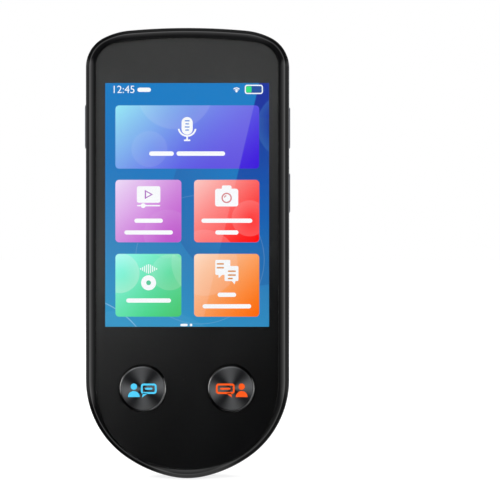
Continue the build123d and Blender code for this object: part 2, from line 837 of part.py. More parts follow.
lens_seat = camera_seat_depth - lens_ring_lip
with BuildPart() as camera_lens:
    with BuildSketch(turning_plane(0, camera_height)):
        with BuildLine():
            lens_radius = lens_bore - plunger_clearance
            lens_face = bowl_arc(lens_seat - lens_thickness - lens_crown, lens_radius, lens_crown)
            Polyline(lens_face @ 1, (lens_radius, lens_seat), (0, lens_seat), lens_face @ 0)
        make_face()
    revolve(axis=turning_axis(0, camera_height))
camera_lens.part.label = "camera_lens"
export_step(camera_lens.part, "parts/camera_lens.step")

barrel_shoulder = camera_seat_depth + camera_gasket_thickness
camera_body_back = plate_back - camera_body_thickness
with BuildPart() as camera_module:
    with BuildSketch(Plane.XZ.offset(camera_body_back)):
        with Locations((0, camera_height)):
            RectangleRounded(camera_body_size, camera_body_size, camera_body_round)
    extrude(amount=camera_body_thickness)
    with BuildSketch(Plane.XZ.offset(barrel_shoulder)):
        with Locations((0, camera_height)):
            Circle(barrel_radius)
    extrude(amount=camera_body_back - barrel_shoulder)
    with BuildSketch(Plane.XZ.offset(camera_seat_depth + barrel_nose_gap)):
        with Locations((0, camera_height)):
            Circle(barrel_nose_radius)
    extrude(amount=camera_gasket_thickness - barrel_nose_gap)
camera_module.part.label = "camera_module"
export_step(camera_module.part, "parts/camera_module.step")

with BuildPart() as camera_gasket:
    with BuildSketch(Plane.XZ.offset(camera_seat_depth)):
        with Locations((0, camera_height)):
            Circle(camera_gasket_radius)
            Circle(barrel_nose_radius + barrel_nose_gap, mode=Mode.SUBTRACT)
    extrude(amount=camera_gasket_thickness)
camera_gasket.part.label = "camera_gasket"
export_step(camera_gasket.part, "parts/camera_gasket.step")

# --- loudspeaker ----------------------------------------------------------------------------
speaker_front = cover_wall + speaker_gasket
magnet_back = board_back - speaker_pad_thickness
speaker_back = magnet_back - magnet_proud
rim_back = speaker_front + speaker_wall
rim_radius = speaker_radius - speaker_rim
with BuildPart() as speaker_frame:
    with BuildSketch(turning_plane(0, speaker_height)):
        with BuildLine():
            Polyline(
                (rim_radius, speaker_front),
                (speaker_radius, speaker_front),
                (speaker_radius, speaker_back),
                (magnet_radius + magnet_gap, speaker_back),
                (magnet_radius + magnet_gap, speaker_back - speaker_wall),
                (speaker_radius - speaker_wall, speaker_back - speaker_wall),
                (speaker_radius - speaker_wall, rim_back),
                (rim_radius, rim_back),
                close=True,
            )
        make_face()
    revolve(axis=turning_axis(0, speaker_height))
speaker_frame.part.label = "speaker_frame"
export_step(speaker_frame.part, "parts/speaker_frame.step")

magnet_front = speaker_front + cone_room
cone_foot = magnet_front - 2 * cone_thickness
with BuildPart() as speaker_cone:
    with BuildSketch(turning_plane(0, speaker_height)):
        with BuildLine():
            cone_front = (
                (0, rim_back),
                (cone_dome_radius, cone_foot),
                (rim_radius, rim_back),
                (speaker_radius - speaker_wall - magnet_gap, rim_back),
            )
            cone_back = [(radius, depth + cone_thickness) for radius, depth in reversed(cone_front)]
            Polyline(*cone_front, *cone_back, close=True)
        make_face()
    revolve(axis=turning_axis(0, speaker_height))
speaker_cone.part.label = "speaker_cone"
export_step(speaker_cone.part, "parts/speaker_cone.step")

with BuildPart() as speaker_magnet:
    with BuildSketch(Plane.XZ.offset(magnet_front)):
        with Locations((0, speaker_height)):
            Circle(magnet_radius)
    extrude(amount=magnet_back - magnet_front)
    chamfer(speaker_magnet.edges().group_by(Axis.Y)[0], length=magnet_bevel)
speaker_magnet.part.label = "speaker_magnet"
export_step(speaker_magnet.part, "parts/speaker_magnet.step")

with BuildPart() as speaker_gasket_ring:
    with BuildSketch(Plane.XZ.offset(cover_wall)):
        with Locations((0, speaker_height)):
            Circle(speaker_radius)
            Circle(rim_radius, mode=Mode.SUBTRACT)
    extrude(amount=speaker_gasket)
speaker_gasket_ring.part.label = "speaker_gasket"
export_step(speaker_gasket_ring.part, "parts/speaker_gasket.step")

with BuildPart() as dust_mesh:
    with BuildSketch(Plane.XZ.offset(cover_wall)):
        with Locations((0, speaker_height)):
            Circle(rim_radius - mesh_gap)
    extrude(amount=mesh_thickness)
dust_mesh.part.label = "dust_mesh"
export_step(dust_mesh.part, "parts/dust_mesh.step")

with BuildPart() as speaker_pad:
    with BuildSketch(Plane.XZ.offset(magnet_back)):
        with Locations((0, speaker_height)):
            Circle(speaker_pad_radius)
    extrude(amount=speaker_pad_thickness)
speaker_pad.part.label = "speaker_pad"
export_step(speaker_pad.part, "parts/speaker_pad.step")

# --- boards ---------------------------------------------------------------------------------
main_board_height = main_board_top - main_board_bottom
with BuildPart() as main_board:
    with BuildSketch(Plane.XZ.offset(board_back)):
        with Locations((0, main_board_bottom)):
            Rectangle(2 * board_half_width, main_board_height, align=(Align.CENTER, Align.MIN))
        with Locations((board_flex_inset - half_width, main_board_bottom)):
            Rectangle(flex_tab_width, flex_tab_height, align=(Align.MIN, Align.MIN))
        add(inset(case_outline, board_flex_inset), mode=Mode.INTERSECT)
        with Locations((0, camera_height)):
            Rectangle(
                camera_body_size + 2 * camera_cut_gap, camera_body_size + 2 * camera_cut_gap,
                mode=Mode.SUBTRACT,
            )
        with Locations(*main_screws):
            Circle(screw_radius + screw_hole_gap, mode=Mode.SUBTRACT)
    extrude(amount=board_thickness)
main_board.part.label = "main_board"
export_step(main_board.part, "parts/main_board.step")

with BuildPart() as sub_board:
    with BuildSketch(Plane.XZ.offset(board_back)):
        add(inset(case_outline, sub_board_inset))
        with Locations((0, sub_board_top)):
            Rectangle(body_width, body_height, align=(Align.CENTER, Align.MAX), mode=Mode.INTERSECT)
        with Locations(*sub_screws):
            Circle(screw_radius + screw_hole_gap, mode=Mode.SUBTRACT)
    extrude(amount=board_thickness)
sub_board.part.label = "sub_board"
export_step(sub_board.part, "parts/sub_board.step")

with BuildPart() as board_flex:
    flex_bottom = sub_board_top - board_flex_overlap
    with BuildSketch(Plane.XZ.offset(board_back - key_flex_thickness)):
        with Locations((board_flex_inset - half_width, flex_bottom)):
            Rectangle(
                board_flex_width,
                main_board_bottom + board_flex_overlap - flex_bottom,
                align=(Align.MIN, Align.MIN),
            )
    extrude(amount=key_flex_thickness)
board_flex.part.label = "board_flex"
export_step(board_flex.part, "parts/board_flex.step")

with BuildPart() as board_screws:
    with BuildSketch(Plane.XZ.offset(board_back - screw_head_height)):
        with Locations(*board_screws_at):
            Circle(screw_head_radius)
    extrude(amount=screw_head_height)
    with BuildSketch(Plane.XZ.offset(board_back)):
        with Locations(*board_screws_at):
            Circle(screw_radius)
    extrude(amount=screw_length)
board_screws.part.label = "board_screws"
export_step(board_screws.part, "parts/board_screws.step")

can_places = ((-can_middle, camera_height + can_rise), (can_middle, camera_height + can_rise))
with BuildPart() as shield_cans:
    with BuildSketch(Plane.XZ.offset(board_back - can_height)):
        with Locations(*can_places):
            RectangleRounded(can_width, can_length, can_round)
    extrude(amount=can_height)
    with BuildSketch(Plane.XZ.offset(board_back - can_height + can_wall)):
        with Locations(*can_places):
            RectangleRounded(can_width - 2 * can_wall, can_length - 2 * can_wall, can_round - can_wall)
    extrude(amount=can_height, mode=Mode.SUBTRACT)
shield_cans.part.label = "shield_cans"
export_step(shield_cans.part, "parts/shield_cans.step")

with BuildPart() as board_chips:
    with BuildSketch(Plane.XZ.offset(board_back - chip_height)):
        with Locations(*can_places):
            Rectangle(can_width - 2 * chip_margin, can_length - 2 * chip_margin)
    extrude(amount=chip_height)
board_chips.part.label = "board_chips"
export_step(board_chips.part, "parts/board_chips.step")

# --- battery --------------------------------------------------------------------------------
with BuildPart() as battery:
    with BuildSketch(Plane.XZ.offset(battery_back)):
        with Locations((0, battery_middle)):
            Rectangle(battery_width, battery_length)
    extrude(amount=battery_front - battery_back)
    fillet(battery.edges().filter_by(Axis.Z), radius=battery_round)
battery.part.label = "battery"
export_step(battery.part, "parts/battery.step")

with BuildPart() as battery_tape:
    with BuildSketch(Plane.XZ.offset(battery_front)):
        with Locations((0, battery_middle)):
            with GridLocations(battery_width - tape_width - 2 * tape_side_margin, 1, 2, 1):
                Rectangle(tape_width, battery_length - 2 * tape_end_margin)
    extrude(amount=tape_thickness)
battery_tape.part.label = "battery_tape"
export_step(battery_tape.part, "parts/battery_tape.step")

plug_bottom = main_board_bottom + screw_head_height
plug_back = board_back - battery_plug_height
with BuildPart() as battery_plug:
    with BuildSketch(Plane.XZ.offset(plug_back)):
        with Locations((0, plug_bottom)):
            Rectangle(battery_lead_width, battery_plug_length, align=(Align.CENTER, Align.MIN))
    extrude(amount=battery_plug_height)
battery_plug.part.label = "battery_plug"
export_step(battery_plug.part, "parts/battery_plug.step")

with BuildPart() as battery_lead:
    with BuildSketch(Plane.XZ.offset(plug_back - battery_lead_thickness)):
        with Locations((0, battery_top)):
            Rectangle(
                battery_lead_width / 2,
                plug_bottom + battery_plug_length - battery_top,
                align=(Align.CENTER, Align.MIN),
            )
    extrude(amount=battery_lead_thickness)
battery_lead.part.label = "battery_lead"
export_step(battery_lead.part, "parts/battery_lead.step")

# --- socket, microphones and antenna --------------------------------------------------------
with BuildPart() as usb_port:
    mouth_plane = Plane(origin=(0, -usb_depth, usb_mouth), x_dir=(1, 0, 0), z_dir=(0, 0, -1))
    with BuildSketch(mouth_plane):
        SlotOverall(usb_width, usb_height)
    extrude(amount=-usb_length)
    with BuildSketch(mouth_plane):
        SlotOverall(usb_width - 2 * usb_wall, usb_height - 2 * usb_wall)
    extrude(amount=-(usb_length - usb_back), mode=Mode.SUBTRACT)
    with BuildSketch(mouth_plane.offset(-usb_tongue_recess)):
        Rectangle(usb_tongue_width, usb_tongue_thickness)
    extrude(amount=-(usb_length - usb_tongue_recess))
usb_port.part.label = "usb_port"
export_step(usb_port.part, "parts/usb_port.step")

with BuildPart() as microphones:
    with BuildSketch(Plane.XZ.offset(board_back - mic_thickness)):
        with Locations((0, mic_height)):
            with GridLocations(mic_spacing, 1, 2, 1):
                Rectangle(mic_width, mic_length)
    extrude(amount=mic_thickness)
microphones.part.label = "microphones"
export_step(microphones.part, "parts/microphones.step")

with BuildPart() as wifi_antenna:
    with BuildSketch(Plane.XZ.offset(cover_wall)):
        with Locations((back_round + antenna_side_gap + antenna_width / 2 - half_width, battery_middle)):
            Rectangle(antenna_width, antenna_length)
    extrude(amount=antenna_thickness)
wifi_antenna.part.label = "wifi_antenna"
export_step(wifi_antenna.part, "parts/wifi_antenna.step")
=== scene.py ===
from functools import partial
from math import asin, cos, pi, radians, sin, tau

import bmesh
import bpy
from bpy.props import BoolProperty, FloatProperty, FloatVectorProperty, IntProperty, PointerProperty
from mathutils import Matrix, Vector


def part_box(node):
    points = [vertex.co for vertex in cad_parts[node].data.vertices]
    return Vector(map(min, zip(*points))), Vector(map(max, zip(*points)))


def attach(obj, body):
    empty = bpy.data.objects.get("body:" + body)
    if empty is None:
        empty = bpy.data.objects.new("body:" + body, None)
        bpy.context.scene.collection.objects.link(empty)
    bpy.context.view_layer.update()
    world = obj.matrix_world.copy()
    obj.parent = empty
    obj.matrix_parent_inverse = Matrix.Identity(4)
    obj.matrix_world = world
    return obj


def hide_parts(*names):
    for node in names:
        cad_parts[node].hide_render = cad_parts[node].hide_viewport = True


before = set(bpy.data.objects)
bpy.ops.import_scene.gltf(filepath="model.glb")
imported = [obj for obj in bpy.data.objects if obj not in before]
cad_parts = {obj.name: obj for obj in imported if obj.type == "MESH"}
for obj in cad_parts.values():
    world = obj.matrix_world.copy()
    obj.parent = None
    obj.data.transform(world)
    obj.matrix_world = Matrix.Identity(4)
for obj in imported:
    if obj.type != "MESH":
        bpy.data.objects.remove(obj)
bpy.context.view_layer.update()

bl_info = {
    "name": "Handheld translator",
    "version": (1, 0, 0),
    "blender": (4, 5, 0),
    "location": "3D View > Sidebar > Translator",
    "description": "Finished pieces, materials and studio for a handheld voice translator",
    "category": "Object",
}

MM = 0.001


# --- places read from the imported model, in millimetres ---------------------------------------
def node_box(node):
    """Lowest and highest corner of a CAD node, in millimetres."""
    low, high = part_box(node)
    return low / MM, high / MM


def node_middle(node):
    low, high = node_box(node)
    return (low + high) / 2


COVER_LOW, COVER_HIGH = node_box("back_cover")
HALF_WIDTH = COVER_HIGH.x
CASE_TOP = COVER_HIGH.z
CASE_TIP = COVER_LOW.z
PARTING = -COVER_LOW.y
CREST = -node_box("front_frame")[0].y
GLASS_LOW, GLASS_HIGH = node_box("cover_glass")
GLASS_FRONT = -GLASS_LOW.y
GLASS_BACK = -GLASS_HIGH.y
PANEL_FRONT = -node_box("display_panel")[0].y
CAMERA_Z = node_middle("camera_ring").z
SPEAKER_Z = node_middle("speaker_frame").z
TALK = {side: node_middle(f"talk_button_{side}") for side in ("left", "right")}
USB_LOW, USB_HIGH = node_box("usb_port")
USB = (USB_LOW + USB_HIGH) / 2

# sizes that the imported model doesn't give, in millimetres
WALL = 1.2
LIP = 0.08  # chamfer at the mouths of the key slots and the camera seat
KEY_WIDTH = 2.4
KEY_PLAY = 0.2  # in a key's slot
KEY_LIPS = 1.4  # that a key's flange is longer than its stem
TALK_RADIUS = 6.0
PICTURE = (-21.25, 21.25, -19.1, 44.1)  # left, right, low and high edge

# arcs of the case and of the glass: the radius of each and the turn in degrees where it ends,
# first from the top of the outline, then from its tip
CASE_ARCS = dict(
    arch=169.6, shoulder=18.3, corner=8.7, corner_at=27.2,
    tip=20.6, tip_at=12.9, flank=24.5, flank_at=34.8,
)
GLASS_ARCS = dict(
    arch=141.7, shoulder=10.0, corner=6.1, corner_at=17.2,
    tip=31.6, tip_at=18.8, flank=30.7, flank_at=70.1,
)

# edge keys: the body each rides on, the way its length lies and the way it stands out
KEYS = {
    "side_key": ("side_press", Vector((0, 0, 1)), Vector((-1, 0, 0))),
    "volume_up_key": ("volume_up", Vector((0, 0, 1)), Vector((1, 0, 0))),
    "volume_down_key": ("volume_down", Vector((0, 0, 1)), Vector((1, 0, 0))),
    "power_key": ("power", Vector((1, 0, 0)), Vector((0, 0, 1))),
}


# --- outlines --------------------------------------------------------------------------------
def arc_chain(place, bend, arcs):
    """Points and outward normals along touching arcs of (radius, turn, steps). The first starts
    level; they bend to the right with -1 and to the left with 1."""
    heading, points = 0.0, []
    for radius, turn, steps in arcs:
        centre = place + Vector((-sin(heading), cos(heading))) * radius * bend
        for step in range(1 if points else 0, steps + 1):
            way = heading + bend * turn * step / steps
            normal = Vector((sin(way), -cos(way))) * bend
            points.append((centre + normal * radius, normal))
        place, heading = points[-1][0], heading + bend * turn
    return points


def device_outline(
    half, top, tip_z, arch, shoulder, corner, corner_at, tip, tip_at, flank, flank_at
):
    """Closed outline as (point, outward normal), clockwise from the top, with straight sides."""
    corner_at, tip_at, flank_at = radians(corner_at), radians(tip_at), radians(flank_at)
    arch_at = asin((half - corner - (shoulder - corner) * sin(corner_at)) / (arch - shoulder))
    heel = half - tip * sin(tip_at) - flank * (1 - sin(flank_at))
    heel /= sin(flank_at) - sin(tip_at)
    upper = arc_chain(Vector((0, top)), -1, (
        (arch, arch_at, 10), (shoulder, corner_at - arch_at, 8), (corner, pi / 2 - corner_at, 16),
    ))
    lower = arc_chain(Vector((0, tip_z)), 1, (
        (tip, tip_at, 6), (heel, flank_at - tip_at, 10), (flank, pi / 2 - flank_at, 16),
    ))
    right = upper + lower[::-1]
    left = [(Vector((-p.x, p.y)), Vector((-n.x, n.y))) for p, n in right[1:-1]]
    return right + left[::-1]


CASE = device_outline(HALF_WIDTH, CASE_TOP, CASE_TIP, **CASE_ARCS)
GLASS = device_outline(GLASS_HIGH.x, GLASS_HIGH.z, GLASS_LOW.z, **GLASS_ARCS)


def ring_at(outline, inset, depth):
    """The outline moved inwards, at a depth in front of the back face."""
    return [(p.x - n.x * inset, -depth, p.y - n.y * inset) for p, n in outline]


def pill(length, width, steps=10):
    """Flat outline of a slot as (point, outward normal); its length lies along the first axis."""
    radius, reach = width / 2, (length - width) / 2
    points = []
    for step in range(2 * steps + 2):
        end = 1 if step <= steps else -1
        way = -pi / 2 + pi * (step if end == 1 else step - 1) / steps
        normal = Vector((cos(way), sin(way)))
        points.append((normal * radius + Vector((end * reach, 0)), normal))
    return points


def quarter(radius, steps, start=0.0, stop=pi / 2):
    """Offsets (inwards, onwards) along a rounded edge, from a wall to the face at its end."""
    ways = [start + (stop - start) * step / steps for step in range(steps + 1)]
    return [(radius * (1 - cos(way)), radius * sin(way)) for way in ways]


def rounded_box(x, z, width, height, radius, steps=6):
    """(x, z) points of a box with round corners about its middle."""
    points = []
    for corner in range(4):
        across = (width / 2 - radius) * (1 if corner in (0, 3) else -1)
        up = (height / 2 - radius) * (1 if corner < 2 else -1)
        for step in range(steps + 1):
            way = pi / 2 * (corner + step / steps)
            points.append((x + across + radius * cos(way), z + up + radius * sin(way)))
    return points


def corners(left, right, low, high):
    return [(left, low), (right, low), (right, high), (left, high)]


def disc(x, z, radius, steps=32):
    ways = [tau * step / steps for step in range(steps)]
    return [(x + radius * cos(way), z + radius * sin(way)) for way in ways]


def band(x, z, inner, outer, start, stop, steps=18):
    """(x, z) points of a curved stroke between two angles in degrees."""
    ways = [radians(start + (stop - start) * step / steps) for step in range(steps + 1)]
    outside = [(x + outer * cos(way), z + outer * sin(way)) for way in ways]
    inside = [(x + inner * cos(way), z + inner * sin(way)) for way in reversed(ways)]
    return outside + inside


def words(x, z, *lengths, height=1.1, gap=0.7):
    """Outlines of a row of rounded bars that stand for words, centred on x."""
    bars, place = [], x - (sum(lengths) + gap * (len(lengths) - 1)) / 2
    for length in lengths:
        bars.append(rounded_box(place + length / 2, z, length, height, height / 2))
        place += length + gap
    return bars


def key_place(node):
    """Middle of an edge key and the length of its stem, in millimetres."""
    low, high = node_box(node)
    body, across, upright = KEYS[node]
    return (low + high) / 2, (high - low).dot(across) - KEY_LIPS


def key_ring(outline, middle, across, upright, rise, spread=0.0):
    """A key's outline about its middle, at a distance from the case's middle plane, spread
    outwards."""
    flat = middle - upright * middle.dot(upright)
    return [
        flat + upright * rise + across * (p.x + n.x * spread) + Vector((0, p.y + n.y * spread, 0))
        for p, n in outline
    ]


# --- mesh work, in millimetres until a piece is finished -------------------------------------
def loft(work, rings, capped=True):
    """Skin over rings with the same number of points, closed at both ends or from last to
    first."""
    made = [[work.verts.new(point) for point in ring] for ring in rings]
    pairs = list(zip(made, made[1:]))
    if capped:
        work.faces.new(made[0])
        work.faces.new(made[-1][::-1])
    else:
        pairs.append((made[-1], made[0]))
    for near, far in pairs:
        for index in range(len(near)):
            after = (index + 1) % len(near)
            work.faces.new((near[index], near[after], far[after], far[index]))


def turned(work, x, z, profile, steps=96):
    """Lathe work about an axis along the depth; profile holds (radius, depth) and closes on
    itself or on the axis."""
    on_axis = profile[0][0] == 0
    rings = [
        [(px, -depth, pz) for px, pz in disc(x, z, radius, steps)]
        for radius, depth in (profile[1:-1] if on_axis else profile)
    ]
    loft(work, rings, capped=on_axis)


def slab(work, outline, back, front):
    """Flat piece between two depths from an outline of (x, z) points."""
    loft(work, [[(x, -depth, z) for x, z in outline] for depth in (back, front)])


def linked(name, data):
    """Object in the scene for a mesh, a curve, a light or a camera."""
    made = bpy.data.objects.new(name, data)
    bpy.context.scene.collection.objects.link(made)
    return made


def finished(name, work, material):
    """Object at the origin with the mesh work in metres, its seams closed and its faces
    outward."""
    bmesh.ops.transform(work, matrix=Matrix.Scale(MM, 4), verts=work.verts)
    bmesh.ops.remove_doubles(work, verts=work.verts, dist=1e-8)
    bmesh.ops.recalc_face_normals(work, faces=work.faces)
    mesh = bpy.data.meshes.new(name)
    work.to_mesh(mesh)
    work.free()
    mesh.materials.append(material)
    return linked(name, mesh)


def lofted(name, material, rings, capped=True):
    work = bmesh.new()
    loft(work, rings, capped)
    return finished(name, work, material)


def lathed(name, material, x, z, profile, steps=96):
    work = bmesh.new()
    turned(work, x, z, profile, steps)
    return finished(name, work, material)


def flat(name, material, shapes, back, front):
    """Piece of flat (x, z) shapes between two depths."""
    work = bmesh.new()
    for shape in shapes:
        slab(work, shape, back, front)
    return finished(name, work, material)


def mesh_of(made):
    """Plain mesh of what an object and its modifiers give."""
    depsgraph = bpy.context.evaluated_depsgraph_get()
    return bpy.data.meshes.new_from_object(made.evaluated_get(depsgraph), depsgraph=depsgraph)


def settle(piece):
    """Makes a plain mesh of what the piece's modifiers give."""
    made = mesh_of(piece)
    if not made.polygons:
        raise RuntimeError(f"{piece.name} came out empty")
    piece.modifiers.clear()
    old, piece.data = piece.data, made
    bpy.data.meshes.remove(old)


def cut(piece, work):
    """Takes the cutter's closed forms out of the piece."""
    cutter = finished("cutter", work, None)
    modifier = piece.modifiers.new("cut", "BOOLEAN")
    modifier.operation = "DIFFERENCE"
    modifier.solver = "EXACT"
    modifier.object = cutter
    settle(piece)
    bpy.data.objects.remove(cutter)


def smooth(piece, sharp=30):
    """Round faces shade smoothly, flat faces stay flat and edges above an angle stay crisp."""
    piece.data.shade_smooth()
    piece.data.set_sharp_from_angle(angle=radians(sharp))
    modifier = piece.modifiers.new("even", "WEIGHTED_NORMAL")
    modifier.keep_sharp = True
    modifier.weight = 100
    settle(piece)


def mounted(piece, body, slot, *nodes):
    """Puts a finished piece on its body, in the place of CAD nodes; the slot argument is not used.
    """
    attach(piece, body)
    if nodes:
        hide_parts(*nodes)


# --- nodes and materials ---------------------------------------------------------------------
def coded(tone):
    """Parts of an sRGB hex value from 0 to 1, as a display is sent them."""
    return [int(tone[place:place + 2], 16) / 255 for place in (1, 3, 5)]


def linear(tone):
    """Linear colour of an sRGB hex value."""
    return (
        *(p / 12.92 if p <= 0.04045 else ((p + 0.055) / 1.055) ** 2.4 for p in coded(tone)), 1.0,
    )


def hue(vector):
    """A panel colour, which is already linear, with full alpha."""
    return (*vector[:3], 1.0)


def feed(node, links):
    """Gives a node's inputs their values or links them to other nodes' outputs."""
    for key, value in links.items():
        if isinstance(value, bpy.types.NodeSocket):
            node.id_data.links.new(value, node.inputs[key])
        else:
            node.inputs[key].default_value = value


def add_node(tree, kind, links=None, **settings):
    """Adds a node with its settings and what its inputs take."""
    node = tree.nodes.new(kind)
    for setting, value in settings.items():
        setattr(node, setting, value)
    feed(node, links or {})
    return node


def calculated(tree, operation, *values, **settings):
    return add_node(
        tree, "ShaderNodeMath", dict(enumerate(values)), operation=operation, **settings
    ).outputs[0]


def fitted(tree, value, start=0.0, stop=1.0, low=0.0, high=1.0, **settings):
    """A value that runs from low to high while the first one runs from start to stop."""
    ends = {"From Min": start, "From Max": stop, "To Min": low, "To Max": high}
    return add_node(tree, "ShaderNodeMapRange", {"Value": value, **ends}, **settings).outputs[0]


def mixed(tree, share, low, high, **settings):
    return add_node(
        tree, "ShaderNodeMix", {0: share, 6: low, 7: high}, data_type="RGBA", **settings
    ).outputs[2]


def noise(tree, place, grain, detail=2.0):
    """Cloudy pattern with a grain in millimetres."""
    return add_node(
        tree, "ShaderNodeTexNoise", {"Vector": place, "Scale": 1 / (grain * MM), "Detail": detail}
    ).outputs[0]


def bumped(tree, height, relief):
    """Normal of a relief with a height in millimetres."""
    return add_node(
        tree, "ShaderNodeBump", {"Height": height, "Strength": 1.0, "Distance": relief * MM}
    ).outputs[0]


def along(tree, place, way):
    """How far a place lies along a way."""
    return add_node(
        tree, "ShaderNodeVectorMath", {0: place, 1: way}, operation="DOT_PRODUCT"
    ).outputs[1]


def length_of(tree, place):
    return add_node(tree, "ShaderNodeVectorMath", {0: place}, operation="LENGTH").outputs[1]


def centred(tree, place, x, z):
    """Place seen from an axis along the depth, flattened onto the face."""
    return add_node(
        tree, "ShaderNodeMapping",
        {"Vector": place, "Location": (-x * MM, 0, -z * MM), "Scale": (1, 0, 1)},
    ).outputs[0]


def toned(tree, share, *stops):
    """Colour ramp through (position, tone)."""
    ramp = add_node(tree, "ShaderNodeValToRGB", {0: share})
    elements = ramp.color_ramp.elements
    while len(elements) < len(stops):
        elements.new(1.0)
    for element, (position, tone) in zip(elements, stops):
        element.position, element.color = position, linear(tone)
    return ramp.outputs[0]


def blank_material(name):
    """Empty node material with its principled shader and the piece's own coordinates."""
    material = bpy.data.materials.new(name)
    material.use_nodes = True
    tree = material.node_tree
    tree.nodes.clear()
    shader = add_node(tree, "ShaderNodeBsdfPrincipled")
    add_node(tree, "ShaderNodeOutputMaterial", {"Surface": shader.outputs[0]})
    place = add_node(tree, "ShaderNodeTexCoord").outputs["Object"]
    return material, tree, shader, place


def grained(
    name, light, dark, grain, gloss, metallic=0.0, relief=0.0, stretch=(1, 1, 1), extra=None
):
    """Moulded, cast, painted or rolled surface: two close tones, uneven gloss and a fine relief.

    grain is the pattern's size and relief its height in millimetres, gloss the roughness it runs
    between, and stretch lengthens the pattern along an axis, as rolling and brushing do.
    """
    material, tree, shader, place = blank_material(name)
    drawn = add_node(
        tree, "ShaderNodeMapping", {"Vector": place, "Scale": tuple(1 / share for share in stretch)}
    ).outputs[0]
    height = noise(tree, drawn, grain, 3.0)
    spread = fitted(tree, height, 0.3, 0.7)
    feed(shader, {
        "Base Color": mixed(tree, spread, linear(dark), linear(light)),
        "Roughness": fitted(tree, spread, 0.0, 1.0, *gloss),
        "Metallic": metallic, **(extra or {}),
    })
    if relief:
        feed(shader, {"Normal": bumped(tree, height, relief)})
    return material


def woven(name, light, dark, thread, gloss, relief):
    """Cloth or glass-fibre weave: two sets of threads at the thread spacing in millimetres."""
    material, tree, shader, place = blank_material(name)
    threads = [
        add_node(
            tree, "ShaderNodeTexWave", {"Vector": place, "Scale": pi / (10 * thread * MM)},
            bands_direction=axis,
        ).outputs[1]
        for axis in ("X", "Z")
    ]
    weave = calculated(tree, "MULTIPLY", *threads)
    feed(shader, {
        "Base Color": mixed(tree, weave, linear(dark), linear(light)),
        "Normal": bumped(tree, weave, relief), "Roughness": gloss,
    })
    return material


def lathe_turned(
    name, light, dark, groove, gloss, x, z, lobes=0, lead=0.0, relief=0.0, anisotropic=0.0
):
    """Metal turned on a lathe about an axis along the depth: fine rings, a highlight drawn
    across them and, with lobes, a fan of painted highlight and painted shade in the colour,
    light and dark sectors that stand for the reflection of the fine grooves, its first painted
    highlight at the lead angle in degrees."""
    material, tree, shader, place = blank_material(name)
    flat_place = centred(tree, place, x, z)
    rings = add_node(
        tree, "ShaderNodeTexNoise",
        {"W": length_of(tree, flat_place), "Scale": 1 / (groove * MM), "Detail": 2.0},
        noise_dimensions="1D",
    ).outputs[0]
    around = add_node(
        tree, "ShaderNodeVectorMath", {0: flat_place, 1: (0, 1, 0)}, operation="CROSS_PRODUCT"
    )
    parts = add_node(tree, "ShaderNodeSeparateXYZ", {0: flat_place}).outputs
    angle = calculated(tree, "ARCTAN2", parts[2], parts[0])
    turn = calculated(tree, "MULTIPLY_ADD", angle, float(lobes), -lobes * radians(lead))
    # two painted lobes stand for a pair of narrow lights, so their painted dark sectors are wide
    fan = fitted(
        tree, calculated(tree, "COSINE", turn), -0.3 if lobes == 2 else -1.0, 1.0,
        0.0 if lobes else 0.5, 0.8,
    )
    # the rings' own tone plus the painted fan of highlight and shade
    uneven = calculated(tree, "MULTIPLY_ADD", rings, 0.35, fan)
    uneven = calculated(tree, "ADD", uneven, -0.15, use_clamp=True)
    feed(shader, {
        "Base Color": mixed(tree, uneven, linear(dark), linear(light)),
        "Tangent": around.outputs[0], "Normal": bumped(tree, rings, relief),
        "Metallic": 1.0, "Roughness": gloss, "Anisotropic": anisotropic,
    })
    return material


def cover_glass_material():
    """Polished toughened glass: clear, with the faintest waviness in its gloss."""
    material, tree, shader, place = blank_material("toughened_cover_glass")
    feed(shader, {
        "Roughness": fitted(tree, noise(tree, place, 9, 0.0), high=0.012),
        "Base Color": (0.98, 0.99, 0.985, 1), "Transmission Weight": 1.0, "IOR": 1.5,
    })
    return material


